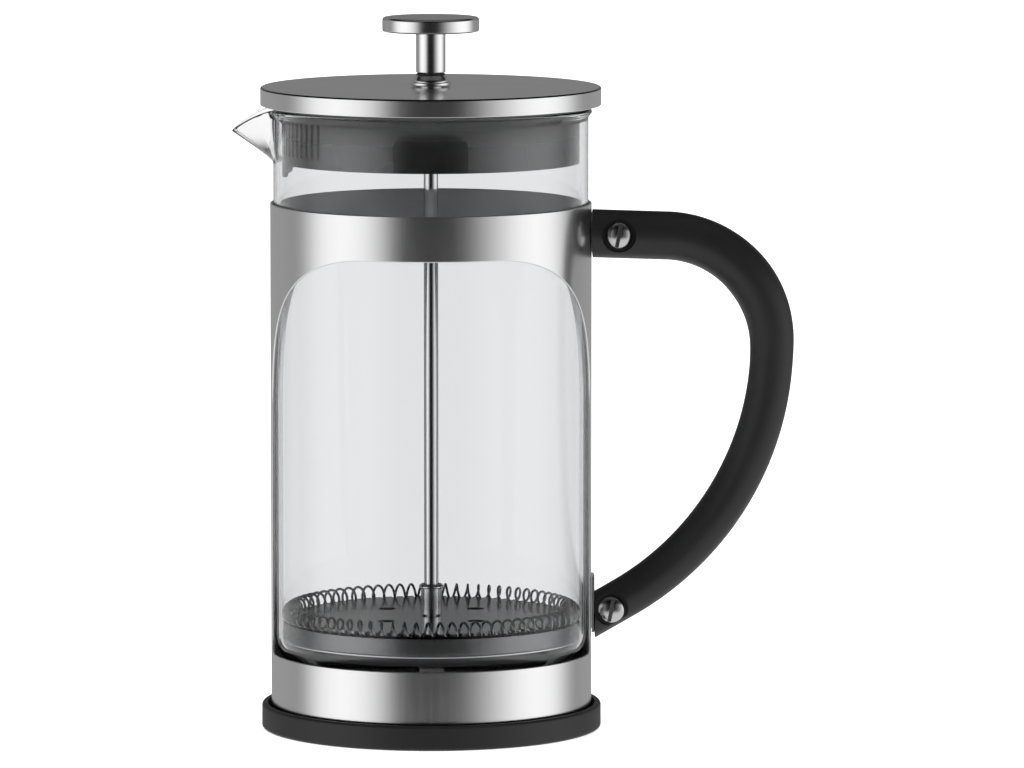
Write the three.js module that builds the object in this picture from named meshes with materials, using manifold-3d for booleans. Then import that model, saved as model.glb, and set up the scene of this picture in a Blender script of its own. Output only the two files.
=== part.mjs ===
// French press: a glass beaker in a windowed steel carrier, with a strainer lid and a plunger.
// Millimetres, +Z up, origin at the centre of the base on the table.
// The spout points along -X and the handle along +X.

import * as THREE from "three";
import { mergeVertices } from "three/addons/utils/BufferGeometryUtils.js";
import Module from "manifold-3d";

const wasm = await Module();
wasm.setup();

// ---------------------------------------------------------------- driving dimensions

// Clearances
const GAP = 0.3; // between pieces that rest on, or are fastened to, each other
const GLASS_TO_FRAME = 0.3; // radial play of the beaker in the steel frame
const BASE_TO_FRAME = 1.05; // radial play of the frame in the base dish
const FLANGE_TO_PLATEAU = 1.5; // radial play of the frame's flange round the base plateau
const SKIRT_TO_GLASS = 1; // radial play of the lid's skirt in the beaker
const COIL_TO_GLASS = 0.4; // radial play of the coil spring in the beaker
const HEM_TO_GLASS = 0.9; // radial play of the mesh hem in the beaker
const ROD_PLAY = 0.3; // radial play round the plunger rod
const STEM_PLAY = 0.3; // radial play of the ferrule's stem in the lid
const SCREW_PLAY = 0.3; // radial play round a screw shank or a nut sleeve

// Beaker
const GLASS_RADIUS = 48.8;
const GLASS_WALL = 1.8;
const GLASS_FLOOR = 2.2;
const GLASS_HEIGHT = 175.7;
const GLASS_CORNER = 12; // outer radius where the wall turns into the floor
const RIM_ROUND = 0.5; // fire-polished edge of the rim
const RIM_FLARE = 1.1; // how far the rim turns out from the wall
const RIM_FLARE_DEPTH = 1.5; // from the rim down to where it starts to turn out
const SPOUT_REACH = 12.7; // how far the lip stands out from the wall
const SPOUT_HALF_WIDTH = 11; // along the wall, from the keel to the root
const SPOUT_DEPTH = 17; // from the rim down to where the spout starts
const SPOUT_DIP = 6.5; // how far the lip lies below the rim
const SPOUT_DIP_POWER = 1.6; // keeps the dip near the keel
const SPOUT_CURL = 0.12; // how late the wall leans out on its way up
const KEEL_SOFTNESS = 0.12; // share of the half width over which the keel is rounded
const ROOT_FADE = 0.3; // share of the half width over which the spout grows out of the wall

// Steel frame
const FRAME_SHEET = 0.7;
const FRAME_HEIGHT = 159.2;
const FRAME_CORNER = 3.7; // outer radius of the turned-in bottom
const WINDOW_SILL = 19.35; // solid height below the windows
const WINDOW_BAND = 14; // solid height above the windows
const POST_WIDTH = 14; // width of the two posts, along the sheet
const ARCH_RADIUS = 50; // upper corners of the windows, along the sheet
const SILL_RADIUS = 4; // lower corners of the windows, along the sheet

// Base
const BASE_HEIGHT = 7.7;
const BASE_WALL = 1.9;
const BASE_FLOOR_TOP = 4.2; // the dish floor, on which the frame stands
const BASE_SHELL = 2.5; // moulded wall of the floor and the plateau
const BASE_ROUND = 0.9;
const FOOT_WIDTH = 6; // the ring that touches the table
const PLATEAU_RADIUS = 40;
const PLATEAU_TOP = 17.1; // carries the beaker
const RIB_WALL = 1.6;
const HUB_FOOT_RADIUS = 7; // the boss where the ribs meet, flush with the foot ring
const LUG_COUNT = 4; // snap lugs that hold the frame's flange down
const LUG_REACH = 3.2;
const LUG_LIP = 0.9;
const LUG_HEIGHT = 4;
const LUG_HALF_ANGLE = 8; // degrees

// Lid
const COVER_OVERHANG = 3.95; // of the steel cover past the glass
const COVER_SHEET = 0.8;
const COVER_DEPTH = 5.5;
const COVER_ROUND = 0.6;
const SEAT_REVEAL = 0.7; // liner that shows between the glass rim and the cover
const SEAT_INSET = 1.25; // of that part of the liner from the part inside the cover
const SEAT_OVER_SPOUT = 47.6; // from the axis to the flat where the seat is cut back
const CEILING_WALL = 2.1;
const SKIRT_WALL = 1.2;
const SKIRT_DEPTH = 16.9; // from the seat to the skirt's lower edge
const TAB_DEPTH = 4.1; // of the pour tab below the skirt
const TAB_HALF_WIDTH = 9.9; // along the skirt, at the tab's lower edge
const TAB_FLARE = 11.8; // along the skirt, from the tab's corner to the skirt's edge
const SLOT_COUNT = 26;
const SLOT_WIDTH = 1.2;
const SLOT_PITCH = 2.73;
const SLOT_HEIGHT = 11.6;
const SLOT_MARGIN = 2.9; // skirt left below the strainer slots

// Ferrule in the lid
const STEM_RADIUS = 3.9;
const FERRULE_HEIGHT = 3.8;
const FERRULE_RADIUS = 4.8;
const FERRULE_FLARE = 6.2;
const FERRULE_FOOT = 0.6; // straight edge of the flare
const FERRULE_SWEEP = 3; // height of the hollow curve above it
const BUSH_NUT_RADIUS = 7.5; // across the corners
const BUSH_NUT_HEIGHT = 3;
const STEM_PROTRUSION = 0.8; // of the stem below its nut

// Plunger
const ROD_RADIUS = 2.2;
const KNOB_RADIUS = 15;
const KNOB_THICKNESS = 4.45;
const KNOB_ROUND = 0.6;
const NECK_RADIUS = 4.6;
const NECK_LENGTH = 12.7;
const ROD_IN_KNOB = 9.4;
const HUB_RADIUS = 3.25;
const HUB_HEIGHT = 9.5;
const HUB_COLLAR_RADIUS = 3.85;
const HUB_COLLAR_HEIGHT = 1.3;

// Filter stack, from the bottom up
const FILTER_STAND = 11.7; // of the cross plate above the beaker's floor
const CROSS_SHEET = 1;
const CROSS_TO_HEM = 0.5;
const CROSS_RIM = 4;
const CROSS_ARM = 8;
const CROSS_CENTRE = 9;
const BOSS_RADIUS = 4.2;
const BOSS_BELOW = 1.5;
const MESH_SHEET = 0.5;
const HEM_HEIGHT = 1.6;
const HEM_WALL = 0.5;
const HEM_ABOVE_MESH = 0.6;
const BOSS_ABOVE_MESH = 0.6; // the boss lifts the spiral plate off the mesh
const PLATE_SHEET = 0.8;
const PLATE_TO_COIL_CENTRE = 0.4; // how far the plate's edge stops short of the coil's centre line
const PLATE_HOLES = 4;
const PLATE_HOLE_RADIUS = 2.75;
const PLATE_HOLE_CIRCLE = 19.6;
const COIL_TURNS = 76;
const COIL_RADIUS = 2.3; // of each turn, to the wire's centre
const WIRE_RADIUS = 0.35;
const COIL_ABOVE_PLATE = 1.7; // of the coil's centre above the plate's middle

// Handle, in the XZ plane
const GRIP_RADIUS = 6.7;
const ARM_RADIUS = 7.5; // at the upper end
const TAIL_RADIUS = 6.4; // at the lower end
const ARM_BELOW_FRAME_TOP = 9.6; // of the arm's centre line, at the frame
const ARM_DROP = 0.8; // over the straight part of the arm
const ARM_LENGTH = 22.25; // straight part, from the frame
const BEND_RADIUS = 33.7; // where the arm turns down
const BOW_RADIUS = 91.9; // of the long curve back to the frame
const BOW_ANGLE = 60; // degrees
const UPPER_TAPER_START = 0.28; // share of the handle's length where it starts to thin
const UPPER_TAPER_END = 0.46;
const LOWER_TAPER_START = 0.6; // from here it thins again, to its end
const TRIM = 3; // that the untrimmed bar runs on past the frame's outside

// Brackets and screws
const BRACKET_SHEET = 0.7;
const BRACKET_HALF_WIDTH = 5;
const UPPER_PLATE_HEIGHT = 10;
const LOWER_PLATE_HEIGHT = 17.5;
const LOWER_PLATE_RISE = 1.5; // of the lower plate's middle above its screw
const TONGUE_SHEET = 1.5;
const TONGUE_HEIGHT = 7;
const TONGUE_PAST_SCREW = 4;
const UPPER_SCREW_REACH = 8.3; // of the screw's axis from the frame
const LOWER_SCREW_REACH = 6.1;
const LOWER_SCREW_BELOW_AXIS = 0.7; // below the handle's centre line
const HEAD_RADIUS = 4.1;
const HEAD_HEIGHT = 2.4;
const HEAD_CROWN = 1.7; // domed part of the head
const RECESS_RADIUS = 5.3;
const RECESS_FLOOR = 4.3; // of the recess floor from the handle's middle plane
const DRIVER_SLOT = 1.1;
const DRIVER_DEPTH = 1;
const DRIVER_TURN = 11; // degrees that the slots lean from upright
const SHANK_RADIUS = 1.7;
const SHANK_LENGTH = 8.2;
const SLEEVE_RADIUS = 2.8;

// Facets
const RING_FACETS = 36;
const FRAME_FACETS = 48;
const KNOB_FACETS = 22;
const BUSH_FACETS = 18;
const SMALL_FACETS = 12;
const HOLE_FACETS = 12;
const ARCH_STEPS = 6; // per upper window corner
const SILL_STEPS = 2; // per lower window corner
const BRACKET_STEPS = 4;
const GLASS_FACETS = 36; // round the wall, without the spout
const GLASS_CORNER_STEPS = 3;
const SPOUT_FACETS = 12;
const SPOUT_RISE_STEPS = 3;
const HANDLE_SIDES = 14;
const HANDLE_STEPS = 18;
const FILLET_STEPS = 2;
const COIL_STEPS = 5; // per turn
const WIRE_SIDES = 3;

// ---------------------------------------------------------------- derived sizes and levels

const radians = THREE.MathUtils.degToRad;

const glassInner = GLASS_RADIUS - GLASS_WALL;
const frameInner = GLASS_RADIUS + GLASS_TO_FRAME;
const frameOuter = frameInner + FRAME_SHEET;
const baseInner = frameOuter + BASE_TO_FRAME;
const baseOuter = baseInner + BASE_WALL;
const coverOuter = GLASS_RADIUS + COVER_OVERHANG;
const linerOuter = coverOuter - COVER_SHEET - GAP;
const skirtOuter = glassInner - SKIRT_TO_GLASS;
const skirtInner = skirtOuter - SKIRT_WALL;
const stemHole = STEM_RADIUS + STEM_PLAY;
const rodHole = ROD_RADIUS + ROD_PLAY;

const frameBottom = BASE_FLOOR_TOP + GAP;
const frameTop = frameBottom + FRAME_HEIGHT;
const glassBottom = PLATEAU_TOP + GAP;
const glassTop = glassBottom + GLASS_HEIGHT;
const glassFloorTop = glassBottom + GLASS_FLOOR;
const seat = glassTop + GAP;
const coverBottom = seat + SEAT_REVEAL;
const coverTop = coverBottom + COVER_DEPTH;
const linerTop = coverTop - COVER_SHEET - GAP;
const ceiling = linerTop - CEILING_WALL;
const skirtBottom = seat - SKIRT_DEPTH;
const tabBottom = skirtBottom - TAB_DEPTH;
const ferruleBottom = coverTop + GAP;
const ferruleTop = ferruleBottom + FERRULE_HEIGHT;
const bushNutBottom = ceiling - GAP - BUSH_NUT_HEIGHT;
const stemBottom = bushNutBottom - STEM_PROTRUSION;
const knobBottom = ferruleTop + GAP;

const crossBottom = glassFloorTop + FILTER_STAND;
const crossTop = crossBottom + CROSS_SHEET;
const meshBottom = crossTop + GAP;
const meshTop = meshBottom + MESH_SHEET;
const bossTop = meshTop + BOSS_ABOVE_MESH;
const plateBottom = bossTop + GAP;
const plateTop = plateBottom + PLATE_SHEET;
const hubBottom = plateTop + GAP;
const coilLevel = plateBottom + PLATE_SHEET / 2 + COIL_ABOVE_PLATE;
const coilCircle = glassInner - COIL_TO_GLASS - WIRE_RADIUS - COIL_RADIUS;
const hemOuter = glassInner - HEM_TO_GLASS;
const hemInner = hemOuter - HEM_WALL;
const rodBottom = crossBottom - BOSS_BELOW + GAP;
const rodTop = knobBottom + ROD_IN_KNOB;

const armLevel = frameTop - ARM_BELOW_FRAME_TOP;
const armEndLevel = armLevel - ARM_DROP;
const bendX = frameOuter + ARM_LENGTH;
const bendZ = armEndLevel - BEND_RADIUS;
const bowX = bendX + BEND_RADIUS - BOW_RADIUS;
const bowTurn = radians(BOW_ANGLE);
const tailX = bowX + BOW_RADIUS * Math.cos(bowTurn);
const tailZ = bendZ - BOW_RADIUS * Math.sin(bowTurn);
const upperScrewX = frameOuter + UPPER_SCREW_REACH;
const upperScrewZ = armLevel - ARM_DROP * UPPER_SCREW_REACH / ARM_LENGTH;
const lowerScrewX = frameOuter + LOWER_SCREW_REACH;
const lowerScrewZ = tailZ - (tailX - lowerScrewX) / Math.tan(bowTurn) - LOWER_SCREW_BELOW_AXIS;
const plateInner = frameOuter + GAP;
const plateOuter = plateInner + BRACKET_SHEET;

// ---------------------------------------------------------------- solids

// Welds the vertices, drops faces without area and makes the faces point outwards.
function closed(geometry) {
  const bare = new THREE.BufferGeometry();
  bare.setAttribute("position", geometry.getAttribute("position"));
  bare.setIndex(geometry.getIndex());
  const welded = mergeVertices(bare, 1e-4);
  const index = welded.getIndex().array;
  const at = welded.getAttribute("position");
  const corner = [new THREE.Vector3(), new THREE.Vector3(), new THREE.Vector3()];
  const faces = [];
  let volume = 0;
  for (let i = 0; i < index.length; i += 3) {
    const [a, b, c] = index.subarray(i, i + 3);
    if (a === b || b === c || c === a) continue;
    faces.push([a, b, c]);
    [a, b, c].forEach((vertex, k) => corner[k].fromBufferAttribute(at, vertex));
    volume += corner[0].dot(corner[1].cross(corner[2]));
  }
  if (volume < 0) faces.forEach((face) => face.reverse());
  welded.setIndex(faces.flat());
  return welded;
}

// A three.js geometry as a solid that can be joined and cut.
function solid(geometry) {
  const shell = closed(geometry);
  return new wasm.Manifold(new wasm.Mesh({
    numProp: 3,
    vertProperties: new Float32Array(shell.getAttribute("position").array),
    triVerts: new Uint32Array(shell.getIndex().array),
  }));
}

// A solid back as a three.js geometry.
function geometryOf(manifold) {
  const mesh = manifold.getMesh();
  const geometry = new THREE.BufferGeometry();
  geometry.setAttribute("position", new THREE.BufferAttribute(mesh.vertProperties, 3));
  geometry.setIndex(new THREE.BufferAttribute(mesh.triVerts, 1));
  return geometry;
}

function joined(first, ...others) {
  return others.reduce((whole, piece) => whole.add(piece), first);
}

function cut(body, ...tools) {
  return tools.reduce((rest, tool) => rest.subtract(tool), body);
}

// A profile from corners [radius, height, fillet]; a fillet rounds its corner with an arc.
function profile(corners, looped) {
  const points = [];
  corners.forEach(([r, z, fillet], i) => {
    const corner = new THREE.Vector2(r, z);
    if (!fillet) {
      points.push(corner);
      return;
    }
    const before = corners[(i + corners.length - 1) % corners.length];
    const after = corners[(i + 1) % corners.length];
    const back = new THREE.Vector2(before[0] - r, before[1] - z).normalize();
    const on = new THREE.Vector2(after[0] - r, after[1] - z).normalize();
    const half = Math.acos(back.dot(on)) / 2;
    const centre = corner.clone();
    centre.addScaledVector(back.clone().add(on).normalize(), fillet / Math.sin(half));
    const start = corner.clone().addScaledVector(back, fillet / Math.tan(half));
    const sweep = (Math.PI - 2 * half) * Math.sign(on.cross(back));
    for (let k = 0; k <= FILLET_STEPS; k++) {
      points.push(start.clone().rotateAround(centre, sweep * k / FILLET_STEPS));
    }
  });
  if (looped) points.push(points[0].clone());
  return points;
}

// A profile turned about +Z.
function turned(points, facets) {
  return new THREE.LatheGeometry(points, facets).rotateX(Math.PI / 2);
}

function turnedRing(corners, facets) {
  return turned(profile(corners, true), facets);
}

function turnedSolid(corners, facets) {
  return turned(profile(corners, false), facets);
}

// A skin over a row of sections with equal numbers of points, looped or with flat ends.
function loft(sections, looped) {
  const sides = sections[0].length;
  const spans = looped ? sections.length : sections.length - 1;
  const index = [];
  for (let i = 0; i < spans; i++) {
    const here = i * sides;
    const next = ((i + 1) % sections.length) * sides;
    for (let k = 0; k < sides; k++) {
      const l = (k + 1) % sides;
      index.push(here + k, next + k, next + l, here + k, next + l, here + l);
    }
  }
  if (!looped) {
    const last = (sections.length - 1) * sides;
    for (let k = 1; k < sides - 1; k++) {
      index.push(0, k, k + 1, last, last + k + 1, last + k);
    }
  }
  const geometry = new THREE.BufferGeometry().setFromPoints(sections.flat());
  geometry.setIndex(index);
  return geometry;
}

// The point at a radius, an angle about +Z and a height.
function polar(r, angle, z) {
  return new THREE.Vector3(r * Math.cos(angle), r * Math.sin(angle), z);
}

// A curved slab between two radii; each column is { angle, low, high }.
function curvedSlab(columns, inner, outer) {
  return loft(columns.map(({ angle, low, high }) => [
    polar(inner, angle, low),
    polar(outer, angle, low),
    polar(outer, angle, high),
    polar(inner, angle, high),
  ]), false);
}

// Angles from one to another in equal steps.
function spread(from, to, steps) {
  return Array.from({ length: steps + 1 }, (_, k) => from + (to - from) * k / steps);
}

// A plain curved slab of one height.
function curvedPlate(halfAngle, low, high, inner, outer) {
  return curvedSlab(
    spread(-halfAngle, halfAngle, BRACKET_STEPS).map((angle) => ({ angle, low, high })),
    inner,
    outer,
  );
}

// A round bar along Y.
function barY(radius, from, to, x, z, facets) {
  const bar = new THREE.CylinderGeometry(radius, radius, to - from, facets);
  return solid(bar.translate(x, (from + to) / 2, z));
}

// ---------------------------------------------------------------- carrier

function baseSolid() {
  const underside = PLATEAU_TOP - BASE_SHELL;
  const floorUnderside = BASE_FLOOR_TOP - BASE_SHELL;
  const hollowRadius = PLATEAU_RADIUS - BASE_SHELL;
  const dish = solid(turnedSolid([
    [0, underside],
    [hollowRadius, underside],
    [hollowRadius, floorUnderside],
    [baseOuter - FOOT_WIDTH, floorUnderside],
    [baseOuter - FOOT_WIDTH, 0],
    [baseOuter, 0, BASE_ROUND],
    [baseOuter, BASE_HEIGHT, BASE_ROUND],
    [baseInner, BASE_HEIGHT],
    [baseInner, BASE_FLOOR_TOP],
    [PLATEAU_RADIUS, BASE_FLOOR_TOP],
    [PLATEAU_RADIUS, PLATEAU_TOP],
    [0, PLATEAU_TOP],
  ], RING_FACETS));

  // Crossed ribs under the plateau, sunk half a wall into the shell that they stiffen
  const ribSpan = 2 * hollowRadius + BASE_SHELL;
  const ribHeight = underside - floorUnderside + BASE_SHELL / 2;
  const ribs = [0, Math.PI / 2].map((angle) => solid(
    new THREE.BoxGeometry(ribSpan, RIB_WALL, ribHeight)
      .translate(0, 0, floorUnderside + ribHeight / 2)
      .rotateZ(angle),
  ));

  // The boss where the ribs meet, down to the table
  const bossHeight = underside + BASE_SHELL / 2;
  const boss = solid(
    new THREE.CylinderGeometry(HUB_FOOT_RADIUS, HUB_FOOT_RADIUS, bossHeight, BUSH_FACETS)
      .rotateX(Math.PI / 2)
      .translate(0, 0, bossHeight / 2),
  );

  // Snap lugs above the frame's flange
  const lugBottom = frameBottom + FRAME_SHEET + GAP;
  const lugInner = PLATEAU_RADIUS - BASE_SHELL / 2;
  const lugOuter = PLATEAU_RADIUS + LUG_REACH;
  const lugs = Array.from({ length: LUG_COUNT }, (_, k) => {
    const middle = (k + 0.5) * 2 * Math.PI / LUG_COUNT;
    const half = radians(LUG_HALF_ANGLE);
    return solid(loft(spread(middle - half, middle + half, 3).map((angle) => [
      polar(lugInner, angle, lugBottom),
      polar(lugOuter, angle, lugBottom),
      polar(lugOuter, angle, lugBottom + LUG_LIP),
      polar(lugInner, angle, lugBottom + LUG_HEIGHT),
    ]), false));
  });
  return joined(dish, ...ribs, boss, ...lugs);
}

// One window as a curved slab through the sheet, middle at the given angle.
function windowTool(middle) {
  const halfWidth = Math.PI / 2 * frameOuter - POST_WIDTH / 2;
  const sill = frameBottom + WINDOW_SILL;
  const head = frameTop - WINDOW_BAND;
  const archStart = halfWidth - ARCH_RADIUS;
  const sillStart = halfWidth - SILL_RADIUS;
  const drop = (radius, past) => radius - Math.sqrt(Math.max(radius ** 2 - past ** 2, 0));
  const quarter = (steps) => spread(0, Math.PI / 2, steps).map(Math.sin);
  const stations = new Set([
    0,
    archStart / 2,
    ...quarter(ARCH_STEPS).map((s) => archStart + ARCH_RADIUS * s),
    ...quarter(SILL_STEPS).map((s) => sillStart + SILL_RADIUS * s),
  ]);
  const right = [...stations].sort((a, b) => a - b);
  const left = right.slice(1).reverse().map((s) => -s);
  const columns = [...left, ...right].map((s) => ({
    angle: middle + s / frameOuter,
    low: sill + drop(SILL_RADIUS, Math.max(Math.abs(s) - sillStart, 0)),
    high: head - drop(ARCH_RADIUS, Math.max(Math.abs(s) - archStart, 0)),
  }));
  return solid(curvedSlab(columns, frameInner - 2 * FRAME_SHEET, frameOuter + 2 * FRAME_SHEET));
}

function frameSolid() {
  const flangeInner = PLATEAU_RADIUS + FLANGE_TO_PLATEAU;
  const sleeve = solid(turnedRing([
    [flangeInner, frameBottom],
    [frameOuter, frameBottom, FRAME_CORNER],
    [frameOuter, frameTop],
    [frameInner, frameTop],
    [frameInner, frameBottom + FRAME_SHEET, FRAME_CORNER - FRAME_SHEET],
    [flangeInner, frameBottom + FRAME_SHEET],
  ], FRAME_FACETS));
  return cut(sleeve, windowTool(-Math.PI / 2), windowTool(Math.PI / 2));
}

// A plate that follows the frame, with a tongue for the screw.
function bracketSolid(plateMiddle, plateHeight, screwX, screwZ) {
  const halfAngle = BRACKET_HALF_WIDTH / plateInner;
  const low = plateMiddle - plateHeight / 2;
  const plate = solid(curvedPlate(halfAngle, low, low + plateHeight, plateInner, plateOuter));
  const tongueStart = plateOuter - BRACKET_SHEET / 2;
  const tongueEnd = screwX + TONGUE_PAST_SCREW;
  const tongue = solid(
    new THREE.BoxGeometry(tongueEnd - tongueStart, TONGUE_SHEET, TONGUE_HEIGHT)
      .translate((tongueStart + tongueEnd) / 2, 0, screwZ),
  );
  const hole = barY(SHANK_RADIUS + SCREW_PLAY, -TONGUE_SHEET, TONGUE_SHEET, screwX, screwZ, SMALL_FACETS);
  return cut(joined(plate, tongue), hole);
}

// The handle's centre line in the XZ plane, from inside the frame and back to it.
function handlePath() {
  const run = tailX - frameOuter + TRIM;
  const path = new THREE.Path();
  path.moveTo(frameOuter - TRIM, armLevel);
  path.lineTo(bendX, armEndLevel);
  path.absarc(bendX, bendZ, BEND_RADIUS, Math.PI / 2, 0, true);
  path.absarc(bowX, bendZ, BOW_RADIUS, 0, -bowTurn, true);
  path.lineTo(tailX - run, tailZ - run / Math.tan(bowTurn));
  return path;
}

// Round sections along the centre line, thinner towards the lower end.
function handleBody() {
  const path = handlePath();
  const sections = spread(0, 1, HANDLE_STEPS).map((u) => {
    const at = path.getPointAt(u);
    const along = path.getTangentAt(u);
    const upper = THREE.MathUtils.smoothstep(u, UPPER_TAPER_START, UPPER_TAPER_END);
    const lower = THREE.MathUtils.smoothstep(u, LOWER_TAPER_START, 1);
    const radius = ARM_RADIUS + (GRIP_RADIUS - ARM_RADIUS) * upper + (TAIL_RADIUS - GRIP_RADIUS) * lower;
    return Array.from({ length: HANDLE_SIDES }, (_, k) => {
      const angle = k * 2 * Math.PI / HANDLE_SIDES;
      const across = radius * Math.cos(angle);
      return new THREE.Vector3(
        at.x - along.y * across,
        radius * Math.sin(angle),
        at.y + along.x * across,
      );
    });
  });
  return solid(loft(sections, false));
}

// Room in the handle for a bracket, its screw and its nut.
function fasteningTools(screwX, screwZ) {
  const halfSlot = TONGUE_SHEET / 2 + GAP;
  const slotStart = frameInner;
  const slotEnd = screwX + TONGUE_PAST_SCREW + GAP;
  const slot = new THREE.BoxGeometry(slotEnd - slotStart, 2 * halfSlot, TONGUE_HEIGHT + 2 * GAP);
  const outside = RECESS_FLOOR + 2 * GRIP_RADIUS;
  const shank = SHANK_RADIUS + SCREW_PLAY;
  const sleeve = SLEEVE_RADIUS + SCREW_PLAY;
  return [
    solid(slot.translate((slotStart + slotEnd) / 2, 0, screwZ)),
    barY(RECESS_RADIUS, -outside, -RECESS_FLOOR, screwX, screwZ, BUSH_FACETS),
    barY(RECESS_RADIUS, RECESS_FLOOR, outside, screwX, screwZ, BUSH_FACETS),
    barY(shank, -outside, 0, screwX, screwZ, SMALL_FACETS),
    barY(sleeve, 0, outside, screwX, screwZ, SMALL_FACETS),
  ];
}

function handleSolid() {
  const reach = frameTop;
  const saddle = solid(
    new THREE.CylinderGeometry(plateInner, plateInner, reach, 2 * RING_FACETS)
      .rotateX(Math.PI / 2)
      .translate(0, 0, frameTop),
  );
  const tailStart = plateOuter + GAP;
  const tailCut = solid(
    new THREE.BoxGeometry(tailStart, 4 * GRIP_RADIUS, frameTop / 2)
      .translate(tailStart / 2, 0, frameTop / 4),
  );
  const pocket = solid(curvedPlate(
    BRACKET_HALF_WIDTH / plateInner + GAP / plateInner,
    upperScrewZ - UPPER_PLATE_HEIGHT / 2 - GAP,
    upperScrewZ + UPPER_PLATE_HEIGHT / 2 + GAP,
    frameInner,
    plateOuter + GAP,
  ));
  return cut(
    handleBody(),
    saddle,
    tailCut,
    pocket,
    ...fasteningTools(upperScrewX, upperScrewZ),
    ...fasteningTools(lowerScrewX, lowerScrewZ),
  );
}

// The straight notch of a screw or nut head whose crown ends at the given height.
function driverSlot(crown) {
  return solid(
    new THREE.BoxGeometry(DRIVER_SLOT, 3 * HEAD_RADIUS, 2 * DRIVER_DEPTH).translate(0, 0, crown),
  );
}

// Head corners shared by the screw and the barrel nut, from the underside to the crown.
const headCorners = [
  [HEAD_RADIUS, 0],
  ...spread(0, Math.PI / 2, 3).map((turn) => [
    HEAD_RADIUS * Math.cos(turn),
    HEAD_HEIGHT - HEAD_CROWN * (1 - Math.sin(turn)),
  ]),
];

// A slotted pan-head screw, head up, origin under the head.
function screwSolid() {
  const body = solid(turnedSolid([
    [0, -SHANK_LENGTH],
    [SHANK_RADIUS, -SHANK_LENGTH],
    [SHANK_RADIUS, 0],
    ...headCorners,
  ], SMALL_FACETS));
  return cut(body, driverSlot(HEAD_HEIGHT));
}

// The sleeve nut on the far side, head up, origin under the head.
function barrelNutSolid() {
  const sleeveLength = RECESS_FLOOR + GAP - TONGUE_SHEET / 2 - GAP;
  const bore = SHANK_RADIUS + SCREW_PLAY;
  const boreEnd = -RECESS_FLOOR - GAP + SHANK_LENGTH - RECESS_FLOOR;
  const body = solid(turnedSolid([
    [0, boreEnd],
    [bore, boreEnd],
    [bore, -sleeveLength],
    [SLEEVE_RADIUS, -sleeveLength],
    [SLEEVE_RADIUS, 0],
    ...headCorners,
  ], SMALL_FACETS));
  return cut(body, driverSlot(HEAD_HEIGHT));
}

// ---------------------------------------------------------------- beaker

// How far the spout's plan has left the round wall: 1 at the keel, 0 at the roots.
function spoutPlan(angle) {
  const along = Math.abs(angle - Math.PI) * GLASS_RADIUS / SPOUT_HALF_WIDTH;
  if (along >= 1) return 0;
  const keel = 1 + KEEL_SOFTNESS - Math.hypot(along, KEEL_SOFTNESS);
  return keel * THREE.MathUtils.smoothstep(1 - along, 0, ROOT_FADE);
}

// The beaker's section at one angle: outside from the axis up, over the rim, and back down inside.
function beakerSection(angle) {
  const plan = spoutPlan(angle);
  const rim = glassTop - SPOUT_DIP * plan ** SPOUT_DIP_POWER;
  const start = glassTop - SPOUT_DEPTH;
  const corner = spread(0, Math.PI / 2, GLASS_CORNER_STEPS);
  const innerCorner = GLASS_CORNER - GLASS_WALL;
  const rise = spread(0, 1, SPOUT_RISE_STEPS);
  const lean = (v) => v ** 2 / (v + SPOUT_CURL) * (1 + SPOUT_CURL);
  const wall = (v, radius, top) => [
    radius + SPOUT_REACH * plan * lean(v),
    start + (top - start) * v,
  ];
  const flare = RIM_FLARE * (1 - plan);
  const outside = rise.map((v) => wall(v, GLASS_RADIUS, rim - RIM_FLARE_DEPTH));
  const inside = rise.map((v) => wall(v, glassInner, rim - RIM_ROUND)).reverse();
  const lip = outside[outside.length - 1][0];
  const points = [
    [0, glassBottom],
    ...corner.map((turn) => [
      GLASS_RADIUS - GLASS_CORNER + GLASS_CORNER * Math.sin(turn),
      glassBottom + GLASS_CORNER * (1 - Math.cos(turn)),
    ]),
    ...outside,
    [lip + flare, rim - RIM_ROUND],
    [lip + flare - RIM_ROUND, rim],
    [lip - GLASS_WALL + RIM_ROUND, rim],
    ...inside,
    ...corner.reverse().map((turn) => [
      glassInner - innerCorner + innerCorner * Math.sin(turn),
      glassFloorTop + innerCorner * (1 - Math.cos(turn)),
    ]),
    [0, glassFloorTop],
  ];
  return points.map(([r, z]) => polar(r, angle, z));
}

function beakerSolid() {
  const half = SPOUT_HALF_WIDTH / GLASS_RADIUS;
  const spout = spread(Math.PI - half, Math.PI + half, SPOUT_FACETS);
  const round = spread(Math.PI + half, 3 * Math.PI - half, GLASS_FACETS).slice(1, -1);
  return solid(loft([...spout, ...round].map(beakerSection), true));
}

// ---------------------------------------------------------------- lid

function coverSolid() {
  return solid(turnedRing([
    [stemHole, coverTop],
    [coverOuter, coverTop, COVER_ROUND],
    [coverOuter, coverBottom],
    [coverOuter - COVER_SHEET, coverBottom],
    [coverOuter - COVER_SHEET, coverTop - COVER_SHEET],
    [stemHole, coverTop - COVER_SHEET],
  ], RING_FACETS));
}

// Cuts the skirt back to its edge everywhere but at the pour tab, with a hollow flare beside it.
function tabTool() {
  const corner = TAB_HALF_WIDTH / skirtOuter;
  const flareEnd = (TAB_HALF_WIDTH + TAB_FLARE) / skirtOuter;
  const low = tabBottom - TAB_DEPTH;
  const flare = spread(0, 1, 5).map((t) => ({
    angle: corner + (flareEnd - corner) * t,
    low,
    high: skirtBottom - TAB_DEPTH * (1 - t) ** 2,
  }));
  const level = spread(flareEnd, Math.PI, 24).slice(1).map((angle) => ({
    angle,
    low,
    high: skirtBottom,
  }));
  const half = [...flare, ...level];
  const mirrored = half.slice(0, -1).reverse().map((column) => ({
    ...column,
    angle: 2 * Math.PI - column.angle,
  }));
  const tool = curvedSlab([...half, ...mirrored], skirtInner - SKIRT_WALL, skirtOuter + SKIRT_WALL);
  return solid(tool.rotateZ(Math.PI));
}

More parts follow.
